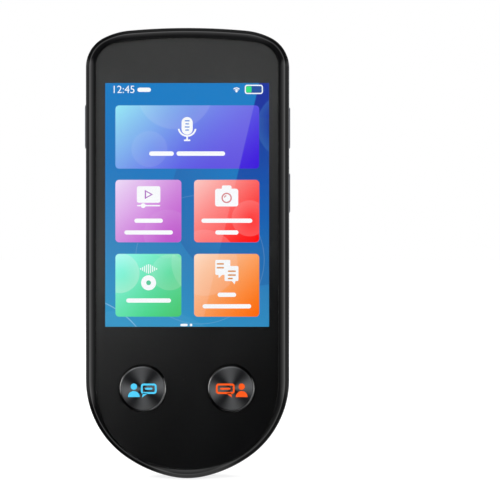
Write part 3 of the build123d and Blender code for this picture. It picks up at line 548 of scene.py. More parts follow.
def case_finishes():
    """Materials of the CAD nodes and pieces by slot."""
    return {
        # Satin metallic paint on moulded polycarbonate: a calm grey with fine flake in its gloss.
        "shell": grained(
            "satin_metallic_paint", "#8a8e9b", "#80848f", 0.35, (0.28, 0.34), 0.85, 0.0002,
            extra={"Specular IOR Level": 0.3, "Coat Weight": 0.7, "Coat Roughness": 0.16},
        ),
        # Bead-blasted anodised aluminium: a little brighter than the paint, soft highlights.
        "edge_keys": grained(
            "anodised_aluminium", "#8b8e96", "#7d8089", 0.25, (0.28, 0.36), 1.0, 0.001
        ),
        # Piano-black ABS, moulded in a polished tool: deep black with a very slight ripple.
        "frame_black": grained(
            "polished_black_abs", "#0b0b0c", "#070708", 2.5, (0.06, 0.1), 0.0, 0.0004
        ),
        # Toughened glass: clear, so the ink and the picture show behind its reflection.
        "cover_glass": cover_glass_material(),
        # Display glass with its black matrix border: near black with a soft gloss.
        "display": grained("display_panel_glass", "#0d0e11", "#090a0c", 0.6, (0.12, 0.18)),
        # White light guide behind reflective film: milky with faint dots.
        "backlight": grained("light_guide_film", "#e6e8ea", "#d6d9dc", 0.5, (0.35, 0.45)),
        # Spun and dark-plated steel, for what shows of a button beside its own material.
        "talk_metal": grained("dark_plated_steel", "#5a5c60", "#47494d", 0.2, (0.25, 0.32), 1.0),
        # Natural acetal, moulded: waxy and slightly see-through white.
        "plungers": grained(
            "moulded_acetal", "#e2e0d8", "#d6d3c9", 0.8, (0.35, 0.45), 0.0, 0.001
        ),
        # Nylon bodies of tact switches under stamped steel: dark with a fine moulded grain.
        "switches": grained(
            "switch_nylon", "#26282b", "#1c1e20", 0.3, (0.45, 0.55), 0.0, 0.002
        ),
        # Turned and diamond-cut aluminium: bright rings with a highlight across them.
        "camera_metal": lathe_turned(
            "turned_aluminium", "#e9e9f2", "#c9c9d6", 0.12, 0.2, 0, CAMERA_Z,
            relief=0.0008, anisotropic=0.5,
        ),
        # Back-printed window glass: black with a sharp gloss.
        "camera_glass": grained(
            "smoked_window_glass", "#151617", "#101112", 1.5, (0.03, 0.06)
        ),
        # Moulded white polycarbonate: bright and softly glossy.
        "lens_ring": grained("white_polycarbonate", "#f2f2f1", "#e9e9e8", 0.5, (0.3, 0.38)),
        # Coated camera lens: dark grey with a mirror gloss.
        "lens": grained(
            "coated_lens_glass", "#3a3d44", "#2c2f36", 0.8, (0.02, 0.05),
            extra={"Coat Weight": 1.0},
        ),
        # Liquid-crystal polymer of the camera module: near black, dry and fine-grained.
        "camera_body": grained(
            "module_polymer", "#202123", "#17181a", 0.25, (0.5, 0.6), 0.0, 0.002
        ),
        # Die-cast magnesium: grey with flow marks and a sandy skin.
        "chassis": grained(
            "die_cast_magnesium", "#9a9c9e", "#85878a", 0.9, (0.42, 0.55), 0.9, 0.006
        ),
        # Acrylic foam tape, dark grey and matt.
        "adhesive": grained(
            "acrylic_foam_tape", "#2e3033", "#232528", 0.4, (0.7, 0.8), 0.0, 0.004
        ),
        # Open-cell polyurethane foam: coarse matt pores.
        "foam": grained(
            "polyurethane_foam", "#2c2c2e", "#151516", 0.35, (0.85, 0.95), 0.0, 0.03
        ),
        # Glass-filled nylon of the loudspeaker's basket: dark with fibre streaks along the flow.
        "speaker_plastic": grained(
            "glass_filled_nylon", "#232527", "#191a1c", 0.2, (0.45, 0.55), 0.0, 0.003, (4, 1, 1)
        ),
        # Thermoformed polyester cone: smooth dark brown-grey with a soft gloss.
        "cone": grained("polyester_cone", "#4b4a46", "#3c3b38", 0.6, (0.4, 0.5), 0.0, 0.002),
        # Nickel-plated magnet cup: warm, bright and smooth.
        "magnet": grained("nickel_plated_steel", "#b9b6ae", "#a7a49d", 0.5, (0.18, 0.26), 1.0),
        # Monofilament acoustic cloth. The 0.05 mm threads are drawn at 0.16 mm so that they show.
        "mesh": woven("acoustic_cloth", "#26282b", "#08090a", 0.16, 0.7, 0.01),
        # Epoxy glass board under dark green solder resist; the weave is drawn at 0.5 mm.
        "boards": woven("solder_resist_board", "#16402c", "#0f3021", 0.5, 0.3, 0.002),
        # Epoxy moulding compound of chips: black, slightly pitted.
        "chips": grained(
            "moulding_compound", "#242527", "#191a1b", 0.15, (0.5, 0.6), 0.0, 0.003
        ),
        # Tin-plated steel, rolled: bright with faint lines along the sheet.
        "shield": grained(
            "tin_plated_steel", "#c5c6c8", "#adafb2", 0.2, (0.22, 0.32), 1.0, 0.0006, (1, 1, 10)
        ),
        # Black zinc-plated steel of the screws: dark metal with a soft gloss.
        "screws": grained("black_zinc_steel", "#3a3b3e", "#2a2b2d", 0.2, (0.3, 0.4), 1.0, 0.001),
        # Deep-drawn nickel-plated steel of the socket: bright with faint drawing lines.
        "socket": grained(
            "nickel_plated_socket", "#bdbcb9", "#a4a3a1", 0.3, (0.2, 0.3), 1.0, 0.0008, (1, 1, 6)
        ),
        # Polyimide film over copper: translucent amber with copper lines.
        "flex": grained(
            "polyimide_film", "#c47a22", "#9b5a16", 0.6, (0.25, 0.35), 0.3, 0.001, (1, 1, 12)
        ),
        # Battery pouch in black polyester wrap: dark with a slight crinkle.
        "battery_wrap": grained(
            "polyester_wrap", "#2a2d33", "#202227", 1.2, (0.35, 0.45), 0.0, 0.006
        ),
    }


FINISH = {}


# --- settings shown in the panel -------------------------------------------------------------
def panel_colour(name, description, tone):
    """Colour setting with its default from an sRGB hex value."""
    return FloatVectorProperty(
        name=name, description=description, subtype="COLOR", size=3, min=0, max=1,
        default=linear(tone)[:3],
    )


def panel_length(name, description, millimetres):
    """Length setting with its default in millimetres."""
    return FloatProperty(
        name=name, description=description, unit="LENGTH", default=millimetres * MM
    )


class TranslatorStage(bpy.types.PropertyGroup):
    """Camera, lamps and floor."""

    camera_place: FloatVectorProperty(
        name="Camera place", description="Where the camera stands; it looks along +Y",
        subtype="TRANSLATION", unit="LENGTH", default=(0.0163, -0.3035, 0.0008),
    )
    camera_lens: FloatProperty(
        name="Lens", description="Focal length for a 36 mm sensor", subtype="DISTANCE_CAMERA",
        default=80.9,
    )
    lamp_level: FloatProperty(
        name="Lamp level", description="Share of the lamps in the light on the case", default=1.0,
        min=0,
    )
    room_level: FloatProperty(
        name="Room level", description="Even light from all round", default=0.22, min=0
    )
    floor_colour: panel_colour("Floor", "Colour of the floor under the object", "#ffffff")


class TranslatorShell(bpy.types.PropertyGroup):
    """Back cover with its loudspeaker grille."""

    back_radius: panel_length("Back edge radius", "Rounding between side and back", 6.0)
    grille_radius: panel_length(
        "Grille radius", "From the grille's middle to its outermost holes", 13.05
    )
    grille_spokes: IntProperty(
        name="Grille spokes", description="Rows of holes round the grille's middle", default=20,
        min=3,
    )
    hole_scale: FloatProperty(
        name="Hole scale", description="Size of all holes of the grille", subtype="FACTOR",
        default=1.0, min=0.2, max=1.3,
    )


class TranslatorFront(bpy.types.PropertyGroup):
    """Front frame, cover glass and talk buttons."""

    # The upper tone is the glass's reflection painted into the black ink.
    ink_upper: panel_colour(
        "Ink, upper", "Black ink under the upper left of the glass", "#343434"
    )
    ink_lower: panel_colour(
        "Ink, lower", "Black ink under the lower right of the glass", "#050506"
    )
    left_mark: panel_colour("Left mark", "Print on the left talk button", "#4fd0fb")
    right_mark: panel_colour("Right mark", "Print on the right talk button", "#ff5a0c")
    mark_height: panel_length("Mark height", "Thickness of the print on a talk button", 0.04)


class TranslatorPicture(bpy.types.PropertyGroup):
    """What the display shows."""

    brightness: FloatProperty(
        name="Brightness", description="Light of the picture; 1 shows colours as written",
        subtype="FACTOR", default=1.09, min=0, max=2,
    )
    tile_radius: panel_length("Tile corner", "Corner radius of a tile", 0.95)
    tiles_shown: BoolProperty(
        name="Tiles", description="Show the tiles on the wallpaper", default=True
    )


class TranslatorCamera(bpy.types.PropertyGroup):
    """Camera window and ring."""

    tick_radius: panel_length(
        "Scale radius", "Radius of the arc of small marks round the lens", 6.2
    )
    tick_count: IntProperty(name="Scale marks", description="Marks on the arc", default=49, min=2)
    # Both window tones are a painted reflection, lighter and darker across a slant.
    glare_light: panel_colour(
        "Window, light side", "Lighter side of the two-tone window", "#4a4a4b"
    )
    glare_dark: panel_colour(
        "Window, dark side", "Darker side of the two-tone window", "#1c1c1d"
    )


# --- geometry node trees ---------------------------------------------------------------------
SOCKETS = {tuple: "NodeSocketVector", float: "NodeSocketFloat", int: "NodeSocketInt"}


def new_tree(name, inputs):
    """Geometry tree with its settings by name and default, and a material."""
    tree = bpy.data.node_groups.new(name, "GeometryNodeTree")
    socket = tree.interface.new_socket
    socket(name="Geometry", in_out="INPUT", socket_type="NodeSocketGeometry")
    for label, default in inputs.items():
        made = socket(name=label, in_out="INPUT", socket_type=SOCKETS[type(default)])
        made.default_value = default
    socket(name="Material", in_out="INPUT", socket_type="NodeSocketMaterial")
    socket(name="Geometry", in_out="OUTPUT", socket_type="NodeSocketGeometry")
    return tree, add_node(tree, "NodeGroupInput").outputs


def close_tree(tree, given, geometry):
    """Ends a tree in real geometry with the material that its input names."""
    real = add_node(tree, "GeometryNodeRealizeInstances", {0: geometry})
    painted = add_node(
        tree, "GeometryNodeSetMaterial", {0: real.outputs[0], "Material": given["Material"]}
    )
    add_node(tree, "NodeGroupOutput", {0: painted.outputs[0]})
    return tree


def joined(tree, *parts):
    """All parts as one geometry."""
    join = add_node(tree, "GeometryNodeJoinGeometry")
    for part in parts:
        tree.links.new(part, join.inputs[0])
    return join.outputs[0]


def without(tree, geometry, cutter, crossing=False):
    """Geometry with the cutter's forms taken out; crossing says that these cross each other."""
    return add_node(
        tree, "GeometryNodeMeshBoolean", {0: geometry, 1: cutter, "Self Intersection": crossing},
        operation="DIFFERENCE", solver="EXACT",
    ).outputs[0]


def placed(tree, geometry, **inputs):
    """Geometry turned and moved."""
    return add_node(tree, "GeometryNodeTransform", {"Geometry": geometry, **inputs}).outputs[0]


def cylinder(tree, vertices, radius, depth):
    return add_node(
        tree, "GeometryNodeMeshCylinder", {"Vertices": vertices, "Radius": radius, "Depth": depth}
    ).outputs[0]


def cube(tree, *size):
    """Block with its three edges in millimetres."""
    edges = tuple(edge * MM for edge in size)
    return add_node(tree, "GeometryNodeMeshCube", {"Size": edges}).outputs[0]


def on_points(tree, points, instance, **inputs):
    """Copies of an instance on points."""
    return add_node(
        tree, "GeometryNodeInstanceOnPoints", {"Points": points, "Instance": instance, **inputs}
    ).outputs[0]


def vector_of(tree, *parts):
    return add_node(tree, "ShaderNodeCombineXYZ", dict(enumerate(parts))).outputs[0]


def run_tree(piece, tree, values):
    """Runs a tree on a piece with values for its named inputs and keeps the mesh it gives."""
    modifier = piece.modifiers.new(tree.name, "NODES")
    modifier.node_group = tree
    for item in tree.interface.items_tree:
        if item.in_out == "INPUT" and item.name in values:
            modifier[item.identifier] = values[item.name]
    settle(piece)


def seeded(name, places, material, tree, values):
    """Piece that a tree makes on loose points, which are in millimetres."""
    work = bmesh.new()
    for place in places:
        work.verts.new(place)
    piece = finished(name, work, material)
    run_tree(piece, tree, {**values, "Material": material})
    return piece


# share of the grille's radius, radius of the holes in millimetres and share of the spokes that
# have one, ring by ring
GRILLE_RINGS = (
    (0.199, 0.17, 1), (0.287, 0.25, 1), (0.452, 0.21, 1), (0.552, 0.32, 1), (0.72, 0.25, 1),
    (0.835, 0.37, 1), (1.0, 0.3, 0.5),
)


def grille_tree():
    """Sunburst of round holes, cut through the wall in front of the loudspeaker."""
    tree, given = new_tree("grille_holes", {
        "Middle": (0.0, 0.0, 0.0), "Radius": 0.013, "Spokes": 20, "Hole scale": 1.0,
    })
    calc = partial(calculated, tree, "MULTIPLY")
    rings = []
    for share, hole, spokes in GRILLE_RINGS:
        circle = add_node(tree, "GeometryNodeMeshCircle", {
            "Vertices": given["Spokes"] if spokes == 1 else calc(given["Spokes"], spokes),
            "Radius": calc(given["Radius"], share),
        })
        upright = placed(
            tree, circle.outputs[0], Rotation=(pi / 2, -pi / 2, 0), Translation=given["Middle"]
        )
        drill = cylinder(tree, 16, calc(given["Hole scale"], hole * MM), 4 * WALL * MM)
        rings.append(on_points(tree, upright, drill, Rotation=(pi / 2, 0, 0)))
    drills = add_node(tree, "GeometryNodeRealizeInstances", {0: joined(tree, *rings)})
    return close_tree(tree, given, without(tree, given["Geometry"], drills.outputs[0]))


def scale_tree():
    """Arc of small printed marks, each second one longer."""
    tree, given = new_tree("window_scale", {
        "Middle": (0.0, 0.0, 0.0), "Radius": 0.0062, "Marks": 49, "Start angle": -0.5,
        "Sweep": 4.2,
    })
    calc = partial(calculated, tree)
    arc = add_node(tree, "GeometryNodeCurveArc", {
        "Resolution": given["Marks"], "Radius": given["Radius"],
        "Start Angle": given["Start angle"], "Sweep Angle": given["Sweep"],
    })
    points = add_node(tree, "GeometryNodeCurveToPoints", {0: arc.outputs[0]}, mode="EVALUATED")
    index = add_node(tree, "GeometryNodeInputIndex").outputs[0]
    tall = fitted(tree, calc("MODULO", index, 2.0), low=1.0, high=0.55)
    step = calc("DIVIDE", given["Sweep"], calc("ADD", given["Marks"], -1.0))
    turn = calc("MULTIPLY_ADD", index, step, given["Start angle"])
    marks = on_points(
        tree, points.outputs[0], cube(tree, 0.9, 0.16, 0.016),
        Rotation=vector_of(tree, 0.0, 0.0, turn), Scale=vector_of(tree, tall, 1.0, 1.0),
    )
    upright = placed(tree, marks, Rotation=(pi / 2, 0, 0), Translation=given["Middle"])
    return close_tree(tree, given, upright)


def screw_tree():
    """Cross-recess screw on each point of the incoming mesh, its head to the back."""
    tree, given = new_tree("board_screws", {
        "Head radius": 0.0013, "Head height": 0.0006, "Shank radius": 0.0007,
        "Shank length": 0.002,
    })

    def lifted(geometry, height):
        return placed(tree, geometry, Translation=vector_of(tree, 0.0, 0.0, height))

    half_head = calculated(tree, "MULTIPLY", given["Head height"], 0.5)
    drop = calculated(tree, "MULTIPLY", given["Shank length"], -0.5)
    head = cylinder(tree, 32, given["Head radius"], given["Head height"])
    shank = cylinder(tree, 24, given["Shank radius"], given["Shank length"])
    cross = joined(tree, cube(tree, 1.5, 0.32, 0.7), cube(tree, 0.32, 1.5, 0.7))
    head = without(tree, head, lifted(cross, half_head), crossing=True)
    screw = joined(tree, lifted(head, half_head), lifted(shank, drop))
    screws = on_points(tree, given["Geometry"], screw, Rotation=(-pi / 2, 0, 0))
    return close_tree(tree, given, screws)


def contact_tree():
    """Row of spring contacts, repeated on both faces of the socket's tongue."""
    tree, given = new_tree("socket_contacts", {"Pitch": 0.0005, "Contacts": 12})
    row = add_node(tree, "GeometryNodeMeshLine", {
        "Count": given["Contacts"], "Offset": vector_of(tree, given["Pitch"]),
    })
    contacts = on_points(tree, row.outputs[0], cube(tree, 0.26, 0.03, 3.6))
    return close_tree(tree, given, on_points(tree, given["Geometry"], contacts))


# --- operators -------------------------------------------------------------------------------
class TRANSLATOR_OT_finishes(bpy.types.Operator):
    """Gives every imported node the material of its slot"""

    bl_idname = "translator.finishes"
    bl_label = "Finishes"

    def execute(self, context):
        FINISH.update(case_finishes())
        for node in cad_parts.values():
            for slot in node.material_slots:
                slot.material = FINISH[slot.material.name.split(".")[0]]
        return {"FINISHED"}


class TRANSLATOR_OT_shell(bpy.types.Operator):
    """Moulds the back cover with its slots, camera seat and grille"""

    bl_idname = "translator.shell"
    bl_label = "Back cover"

    def execute(self, context):
        sizes = context.scene.translator_shell
        radius, bevel = sizes.back_radius / MM, 0.25
        inner = [
            (WALL + inward, radius - onward) for inward, onward in quarter(radius - WALL, 10)
        ]
        rim = [(WALL, PARTING), (bevel, PARTING), (0, PARTING - bevel)]
        outer = [(inward, radius - onward) for inward, onward in quarter(radius, 14)]
        shell = lofted(
            "shell_moulding", FINISH["shell"],
            [ring_at(CASE, *place) for place in inner[::-1] + rim + outer],
        )

        cutter = bmesh.new()
        seat, seat_depth, opening = 11.7, 0.6, 9.2
        turned(cutter, 0, CAMERA_Z, [
            (0, -1), (seat + 1 + LIP, -1), (seat, LIP), (seat, seat_depth),
            (opening, seat_depth), (opening, 3), (0, 3),
        ])
        for node, (body, across, upright) in KEYS.items():
            middle, length = key_place(node)
            edge = HALF_WIDTH if upright.x else CASE_TOP
            slot = pill(length + KEY_PLAY, KEY_WIDTH + KEY_PLAY)
            loft(cutter, [
                key_ring(slot, middle, across, upright, edge + rise, spread)
                for rise, spread in ((-3, 0), (-LIP, 0), (1, 1 + LIP))
            ])
        socket_play, cut_top, cut_end = 0.36, -54.5, CASE_TIP - 2
        mouth = pill(USB_HIGH.x - USB_LOW.x + socket_play, USB_HIGH.y - USB_LOW.y + socket_play)
        holes = [[(USB.x + p.x, USB.y + p.y) for p, _ in mouth]]
        holes += [disc(side, USB.y, 0.45, 20) for side in (-8.5, 8.5)]
        for hole in holes:
            loft(cutter, [[(x, y, z) for x, y in hole] for z in (cut_top, cut_end)])
        cut(shell, cutter)
        run_tree(shell, grille_tree(), {
            "Middle": (0, 0, SPEAKER_Z * MM), "Radius": sizes.grille_radius,
            "Spokes": sizes.grille_spokes, "Hole scale": sizes.hole_scale,
            "Material": FINISH["shell"],
        })
        smooth(shell, 35)
        mounted(shell, "housing", "shell", "back_cover")
        return {"FINISHED"}


class TRANSLATOR_OT_frame(bpy.types.Operator):
    """Moulds the glossy front frame round the glass"""

    bl_idname = "translator.frame"
    bl_label = "Front frame"

    def execute(self, context):
        reveal, band_round, bead_inset, bead_round = 0.12, 0.85, 1.0, 1.9
        shoulder = PARTING + 1.8
        foot = asin((shoulder - (CREST - bead_round)) / bead_round)
        profile = [(reveal, PARTING)]
        for inset, front, radius, edge in (
            (reveal, shoulder, band_round, quarter(band_round, 6, 0, radians(45))),
            (bead_inset, CREST, bead_round, quarter(bead_round, 16, foot)),
        ):
            profile += [(inset + inward, front - radius + onward) for inward, onward in edge]
        rim = lofted(
            "front_bezel", FINISH["frame_black"], [ring_at(CASE, *place) for place in profile]
        )
        gap, hollow, ledge = 0.1, 2.2, 0.8
        ledge_front, ledge_back = GLASS_BACK - 0.15, GLASS_BACK - 0.9
        cutter = bmesh.new()
        loft(cutter, [ring_at(*place) for place in (
            (CASE, hollow, PARTING - 1), (CASE, hollow, ledge_back), (GLASS, ledge, ledge_back),
            (GLASS, ledge, ledge_front), (GLASS, -gap, ledge_front), (GLASS, -gap, CREST - 0.04),
            (GLASS, -gap - 1.1, CREST + 1),
        )])
        cut(rim, cutter)
        smooth(rim, 35)
        mounted(rim, "housing", "frame_black", "front_frame")
        return {"FINISHED"}


def ink_material(sizes):
    """Ceramic ink screen-printed on the back of the glass: deep black, with the glass's
    reflection painted in as a grey that grows towards the upper left."""
    material, tree, shader, place = blank_material("black_ink_painted_reflection")
    # painted reflection: greyer towards the upper left
    slope = fitted(tree, along(tree, place, (-1, 0, 1)), -76 * MM, 21 * MM)
    share = calculated(tree, "POWER", slope, 1.9)
    share = calculated(tree, "MULTIPLY_ADD", noise(tree, place, 0.4), 0.02, share)
    feed(shader, {
        "Base Color": mixed(tree, share, hue(sizes.ink_lower), hue(sizes.ink_upper)),
        "Roughness": 0.6, "Specular IOR Level": 0.0,
    })
    return material


class TRANSLATOR_OT_glass(bpy.types.Operator):
    """Grinds the cover glass and prints the black ink behind it"""

    bl_idname = "translator.glass"
    bl_label = "Cover glass"

    def execute(self, context):
        ink_back, edge, hole = GLASS_BACK + 0.04, 0.1, TALK_RADIUS + 0.2
        profile = [(0, ink_back + 0.005)]
        profile += [
            (inward, GLASS_FRONT - edge + onward) for inward, onward in quarter(edge, 4)
        ]
        pane = lofted(
            "glass_pane", FINISH["cover_glass"], [ring_at(GLASS, *place) for place in profile]
        )
        ink = lofted(
            "glass_ink", ink_material(context.scene.translator_front),
            [ring_at(GLASS, 0.02, depth) for depth in (GLASS_BACK, ink_back)],
        )
        behind, before = 9, GLASS_FRONT + 1
        for piece, flare in ((pane, 0.05), (ink, 0.0)):
            cutter = bmesh.new()
            for spot in TALK.values():
                turned(cutter, spot.x, spot.z, [
                    (0, behind), (hole, behind), (hole, GLASS_FRONT - flare),
                    (hole + 1 + flare, before), (0, before),
                ])
            if piece is ink:
                slab(cutter, corners(*PICTURE), 5, 20)
            cut(piece, cutter)
            smooth(piece)
        mounted(pane, "housing", "cover_glass", "cover_glass")
        mounted(ink, "housing", "frame_black", "cover_glass")
        return {"FINISHED"}


# tiles on the display: left, right, low and high edge in millimetres, and the tones of the
# upper left and lower right corner
TILES = (
    (-18.6, 18.7, 21.9, 38.3, "#96e8f6", "#390adc"),
    (-18.6, -1.5, 2.8, 19.0, "#f1ddfb", "#b83fc6"),
    (1.8, 18.7, 2.8, 19.0, "#ffc9c4", "#ff0000"),
    (-18.6, -1.5, -16.5, -0.2, "#97fff4", "#2fc362"),
    (1.8, 18.7, -16.5, -0.2, "#ffd9c0", "#ff6501"),
)
# see-through discs over the tiles and over the wallpaper: x, z, radius, width of the fade and
# strength, and a tone where it isn't white
TILE_VEILS = (
    (-17.5, -5.2, 5.1, 4, 0.2), (-4.6, -5.0, 4.6, 5, 0.1), (16.2, 9.0, 4.6, 5, 0.08),
    (-5.0, 5.0, 6.2, 7, 0.05), (-9.8, 27.0, 4.6, 6, 0.05), (-3.2, 42.0, 9.8, 9, 0.07),
    (4.5, -2.5, 8.5, 9, 0.08),
)
WALLPAPER_VEILS = (
    (17.5, 13.4, 21.8, 14, 0.35, "#1b4a98"), (3.3, -1.7, 16.7, 0.2, 0.16, "#b9dcf2"),
    (-31.1, -34.4, 23.6, 0.25, 0.45, "#c9ecff"), (27.0, 33.0, 8.8, 3, 0.2, "#4f9ad6"),
    (-12.0, -44.0, 30.0, 16, 0.05, "#8fd0f0"),
)
SLANT = (1, 0, -0.237)  # way across the slanting line that runs through the picture

# back and front of the picture's layers, in millimetres over the panel
PAPER, TILE, ICON = (0.001, 0.01), (0.012, 0.02), (0.022, 0.03)
SHEET, DETAIL, CHARGE = (0.024, 0.032), (0.034, 0.04), (0.042, 0.048)

# white shapes of the picture
ICONS = (
    # microphone
    rounded_box(0, 33.0, 2.9, 4.6, 1.45), band(0, 32.6, 2.0, 2.45, 190, 350),
    rounded_box(0, 29.75, 0.45, 0.9, 0.1), rounded_box(0, 29.25, 1.7, 0.42, 0.2),
    # playback
    rounded_box(-10.0, 15.2, 6.1, 4.3, 0.5), rounded_box(-10.0, 12.3, 6.0, 0.34, 0.15),
    disc(-11.4, 12.3, 0.62),
    # camera
    rounded_box(10.25, 14.4, 6.0, 4.6, 0.6), rounded_box(10.25, 16.9, 2.5, 1.3, 0.4),
    # recorder
    *(
        rounded_box(-10.0 + (index - 4) * 0.52, -4.1, 0.24, reach, 0.11)
        for index, reach in enumerate((0.5, 1.0, 1.6, 2.2, 2.5, 2.2, 1.6, 1.0, 0.5))
    ),
    disc(-10.0, -7.7, 1.95),
    # the rear one of two sheets, and a tip at the foot of each
    rounded_box(9.25, -3.7, 3.9, 3.9, 0.35),
    [(8.1, -5.4), (9.3, -5.4), (8.2, -6.5)], [(11.4, -7.0), (12.6, -7.0), (12.3, -8.1)],
    # page marks and status row
    rounded_box(-0.8, -18.65, 1.9, 0.62, 0.3), disc(1.0, -18.65, 0.34),
    band(12.8, 41.75, 0.95, 1.2, 45, 135), band(12.8, 41.75, 0.5, 0.75, 45, 135),
    disc(12.8, 41.95, 0.28), rounded_box(17.3, 42.45, 4.7, 2.4, 0.6),
    *words(-11.15, 42.35, 3.5),
    # words
    *words(0, 25.8, 6.4, 12.6, height=1.15), *words(-10.0, 8.4, 7.4), *words(-10.0, 5.35, 12.6),
    *words(10.3, 8.4, 13.2), *words(10.3, 5.35, 6.0), *words(-10.0, -12.3, 11.6),
    *words(10.3, -10.8, 4.8), *words(10.3, -13.8, 12.6),
)
FRONT_SHEET = rounded_box(11.5, -5.3, 3.6, 3.9, 0.35)

# coloured shapes on the white ones: name, tone, layer and outlines
DETAILS = (
    ("lilac", "#b06fc4", DETAIL, (
        [(-11.0, 16.4), (-8.85, 15.2), (-9.4, 15.2), (-10.65, 15.9)],
        [(-8.85, 15.2), (-11.0, 14.0), (-10.65, 14.5), (-9.4, 15.2)],
        [(-11.0, 14.0), (-11.0, 16.4), (-10.65, 15.9), (-10.65, 14.5)],
    )),
    ("rose", "#d7848a", DETAIL, (
        band(10.25, 14.3, 1.0, 1.35, 0, 359.9, 36), band(10.25, 14.3, 0.45, 0.75, 100, 170, 8),
    )),
    ("green", "#59c79b", DETAIL, (disc(-10.0, -7.7, 0.62),)),
    ("sky", "#5d8fe0", DETAIL, tuple(
        rounded_box(0, z, width, 0.3, 0.14)
        for z, width in ((34.3, 1.3), (33.5, 1.0), (32.7, 1.3), (31.9, 1.0))
    )),
    ("amber", "#d98f4c", DETAIL, tuple(
        rounded_box(x, z, width, 0.38, 0.18) for x, z, width in (
            (8.6, -2.8, 1.9), (8.6, -3.8, 1.9), (11.6, -4.7, 2.1), (11.6, -5.7, 2.1),
            (11.2, -6.6, 1.3),
        )
    )),
    ("navy", "#174f9f", DETAIL, (
        rounded_box(17.3, 42.45, 4.1, 1.8, 0.35), rounded_box(19.85, 42.45, 0.3, 0.9, 0.1),
    )),
    ("charge", "#2fe07f", CHARGE, (rounded_box(16.0, 42.45, 1.4, 1.6, 0.3),)),
)


def over_panel(layer):
    return [PANEL_FRONT + height for height in layer]


def veiled(tree, place, tone, x, z, radius, fade, strength, veil_tone="#ffffff"):
    """Lays a see-through disc over a tone: strongest at its edge, fading inwards over a width."""
    reach = length_of(tree, centred(tree, place, x, z))
    inside = fitted(tree, reach, (radius - fade) * MM, radius * MM, 0.0, strength)
    edge = fitted(tree, reach, radius * MM, (radius + 0.12) * MM, 1.0, 0.0)
    return mixed(tree, calculated(tree, "MULTIPLY", inside, edge), tone, linear(veil_tone))


def glowing(shader, tone, brightness):
    """Lets a surface shine in a tone and mirror nothing."""
    feed(shader, {
        "Emission Color": tone, "Emission Strength": brightness,
        "Base Color": (0.002, 0.002, 0.002, 1), "Specular IOR Level": 0.0,
    })


def tile_tones(tree, place):
    """Tones that the tiles carry, with pale discs and a painted sheen up to a slanting line."""
    sent = add_node(tree, "ShaderNodeAttribute", attribute_name="tile_tone")
    tone = add_node(tree, "ShaderNodeGamma", {0: sent.outputs["Color"], 1: 2.2}).outputs[0]
    for veil in TILE_VEILS:
        tone = veiled(tree, place, tone, *veil)
    # painted sheen: lighter towards the slanting line, ending on it
    slant = along(tree, place, SLANT)
    near = fitted(tree, slant, -7 * MM, 8.15 * MM, 0.0, 0.075)
    edge = fitted(tree, slant, 8.15 * MM, 8.35 * MM, 1.0, 0.0)
    return mixed(tree, calculated(tree, "MULTIPLY", near, edge), tone, (1, 1, 1, 1))


def lit_material(name, brightness, tone=None):
    """Lit part of the picture: its tone, or the tiles' own, with the slight unevenness of a
    backlight."""
    material, tree, shader, place = blank_material(name)
    level = fitted(tree, noise(tree, place, 14, 1.0), 0.3, 0.7, 0.96, 1.0)
    colour = linear(tone) if tone else tile_tones(tree, place)
    glowing(shader, mixed(tree, 1.0, colour, level, blend_type="MULTIPLY"), brightness)
    return material


def wallpaper_material(brightness):
    """Blue wallpaper: soft light from the upper left and lower right and two great pale
    curves."""
    material, tree, shader, place = blank_material("lit_wallpaper")
    ramp = toned(
        tree, fitted(tree, along(tree, place, (0.35, 0, 1)), -22 * MM, 40 * MM),
        (0.0, "#2d92c4"), (0.3, "#2d81bb"), (0.62, "#1275bd"), (1.0, "#0079c2"),
    )
    beyond = fitted(tree, along(tree, place, SLANT), 8.1 * MM, 8.4 * MM, 0.0, 0.9)
    high = fitted(tree, along(tree, place, (0, 0, 1)), -10 * MM, 34 * MM)
    corner = calculated(tree, "MULTIPLY", beyond, high)
    tone = mixed(tree, corner, ramp, linear("#000d97"))
    for veil in WALLPAPER_VEILS:
        tone = veiled(tree, place, tone, *veil)
    glowing(shader, tone, brightness)
    return material


def numerals(name, material, text, x, z, height, back, front):
    """Generic figures between two depths, left-aligned on x and centred on z."""
    curve = bpy.data.curves.new(name, "FONT")
    curve.body = text
    curve.align_y = "CENTER"
    curve.size = height * MM
    curve.extrude = (front - back) / 2 * MM
    curve.resolution_u = 4
    shape = linked(name, curve)
    mesh = mesh_of(shape)
    bpy.data.objects.remove(shape)
    place = Matrix.Translation((x * MM, -(back + front) / 2 * MM, z * MM))
    mesh.transform(place @ Matrix.Rotation(pi / 2, 4, "X"))
    mesh.materials.clear()
    mesh.materials.append(material)
    return linked(name, mesh)


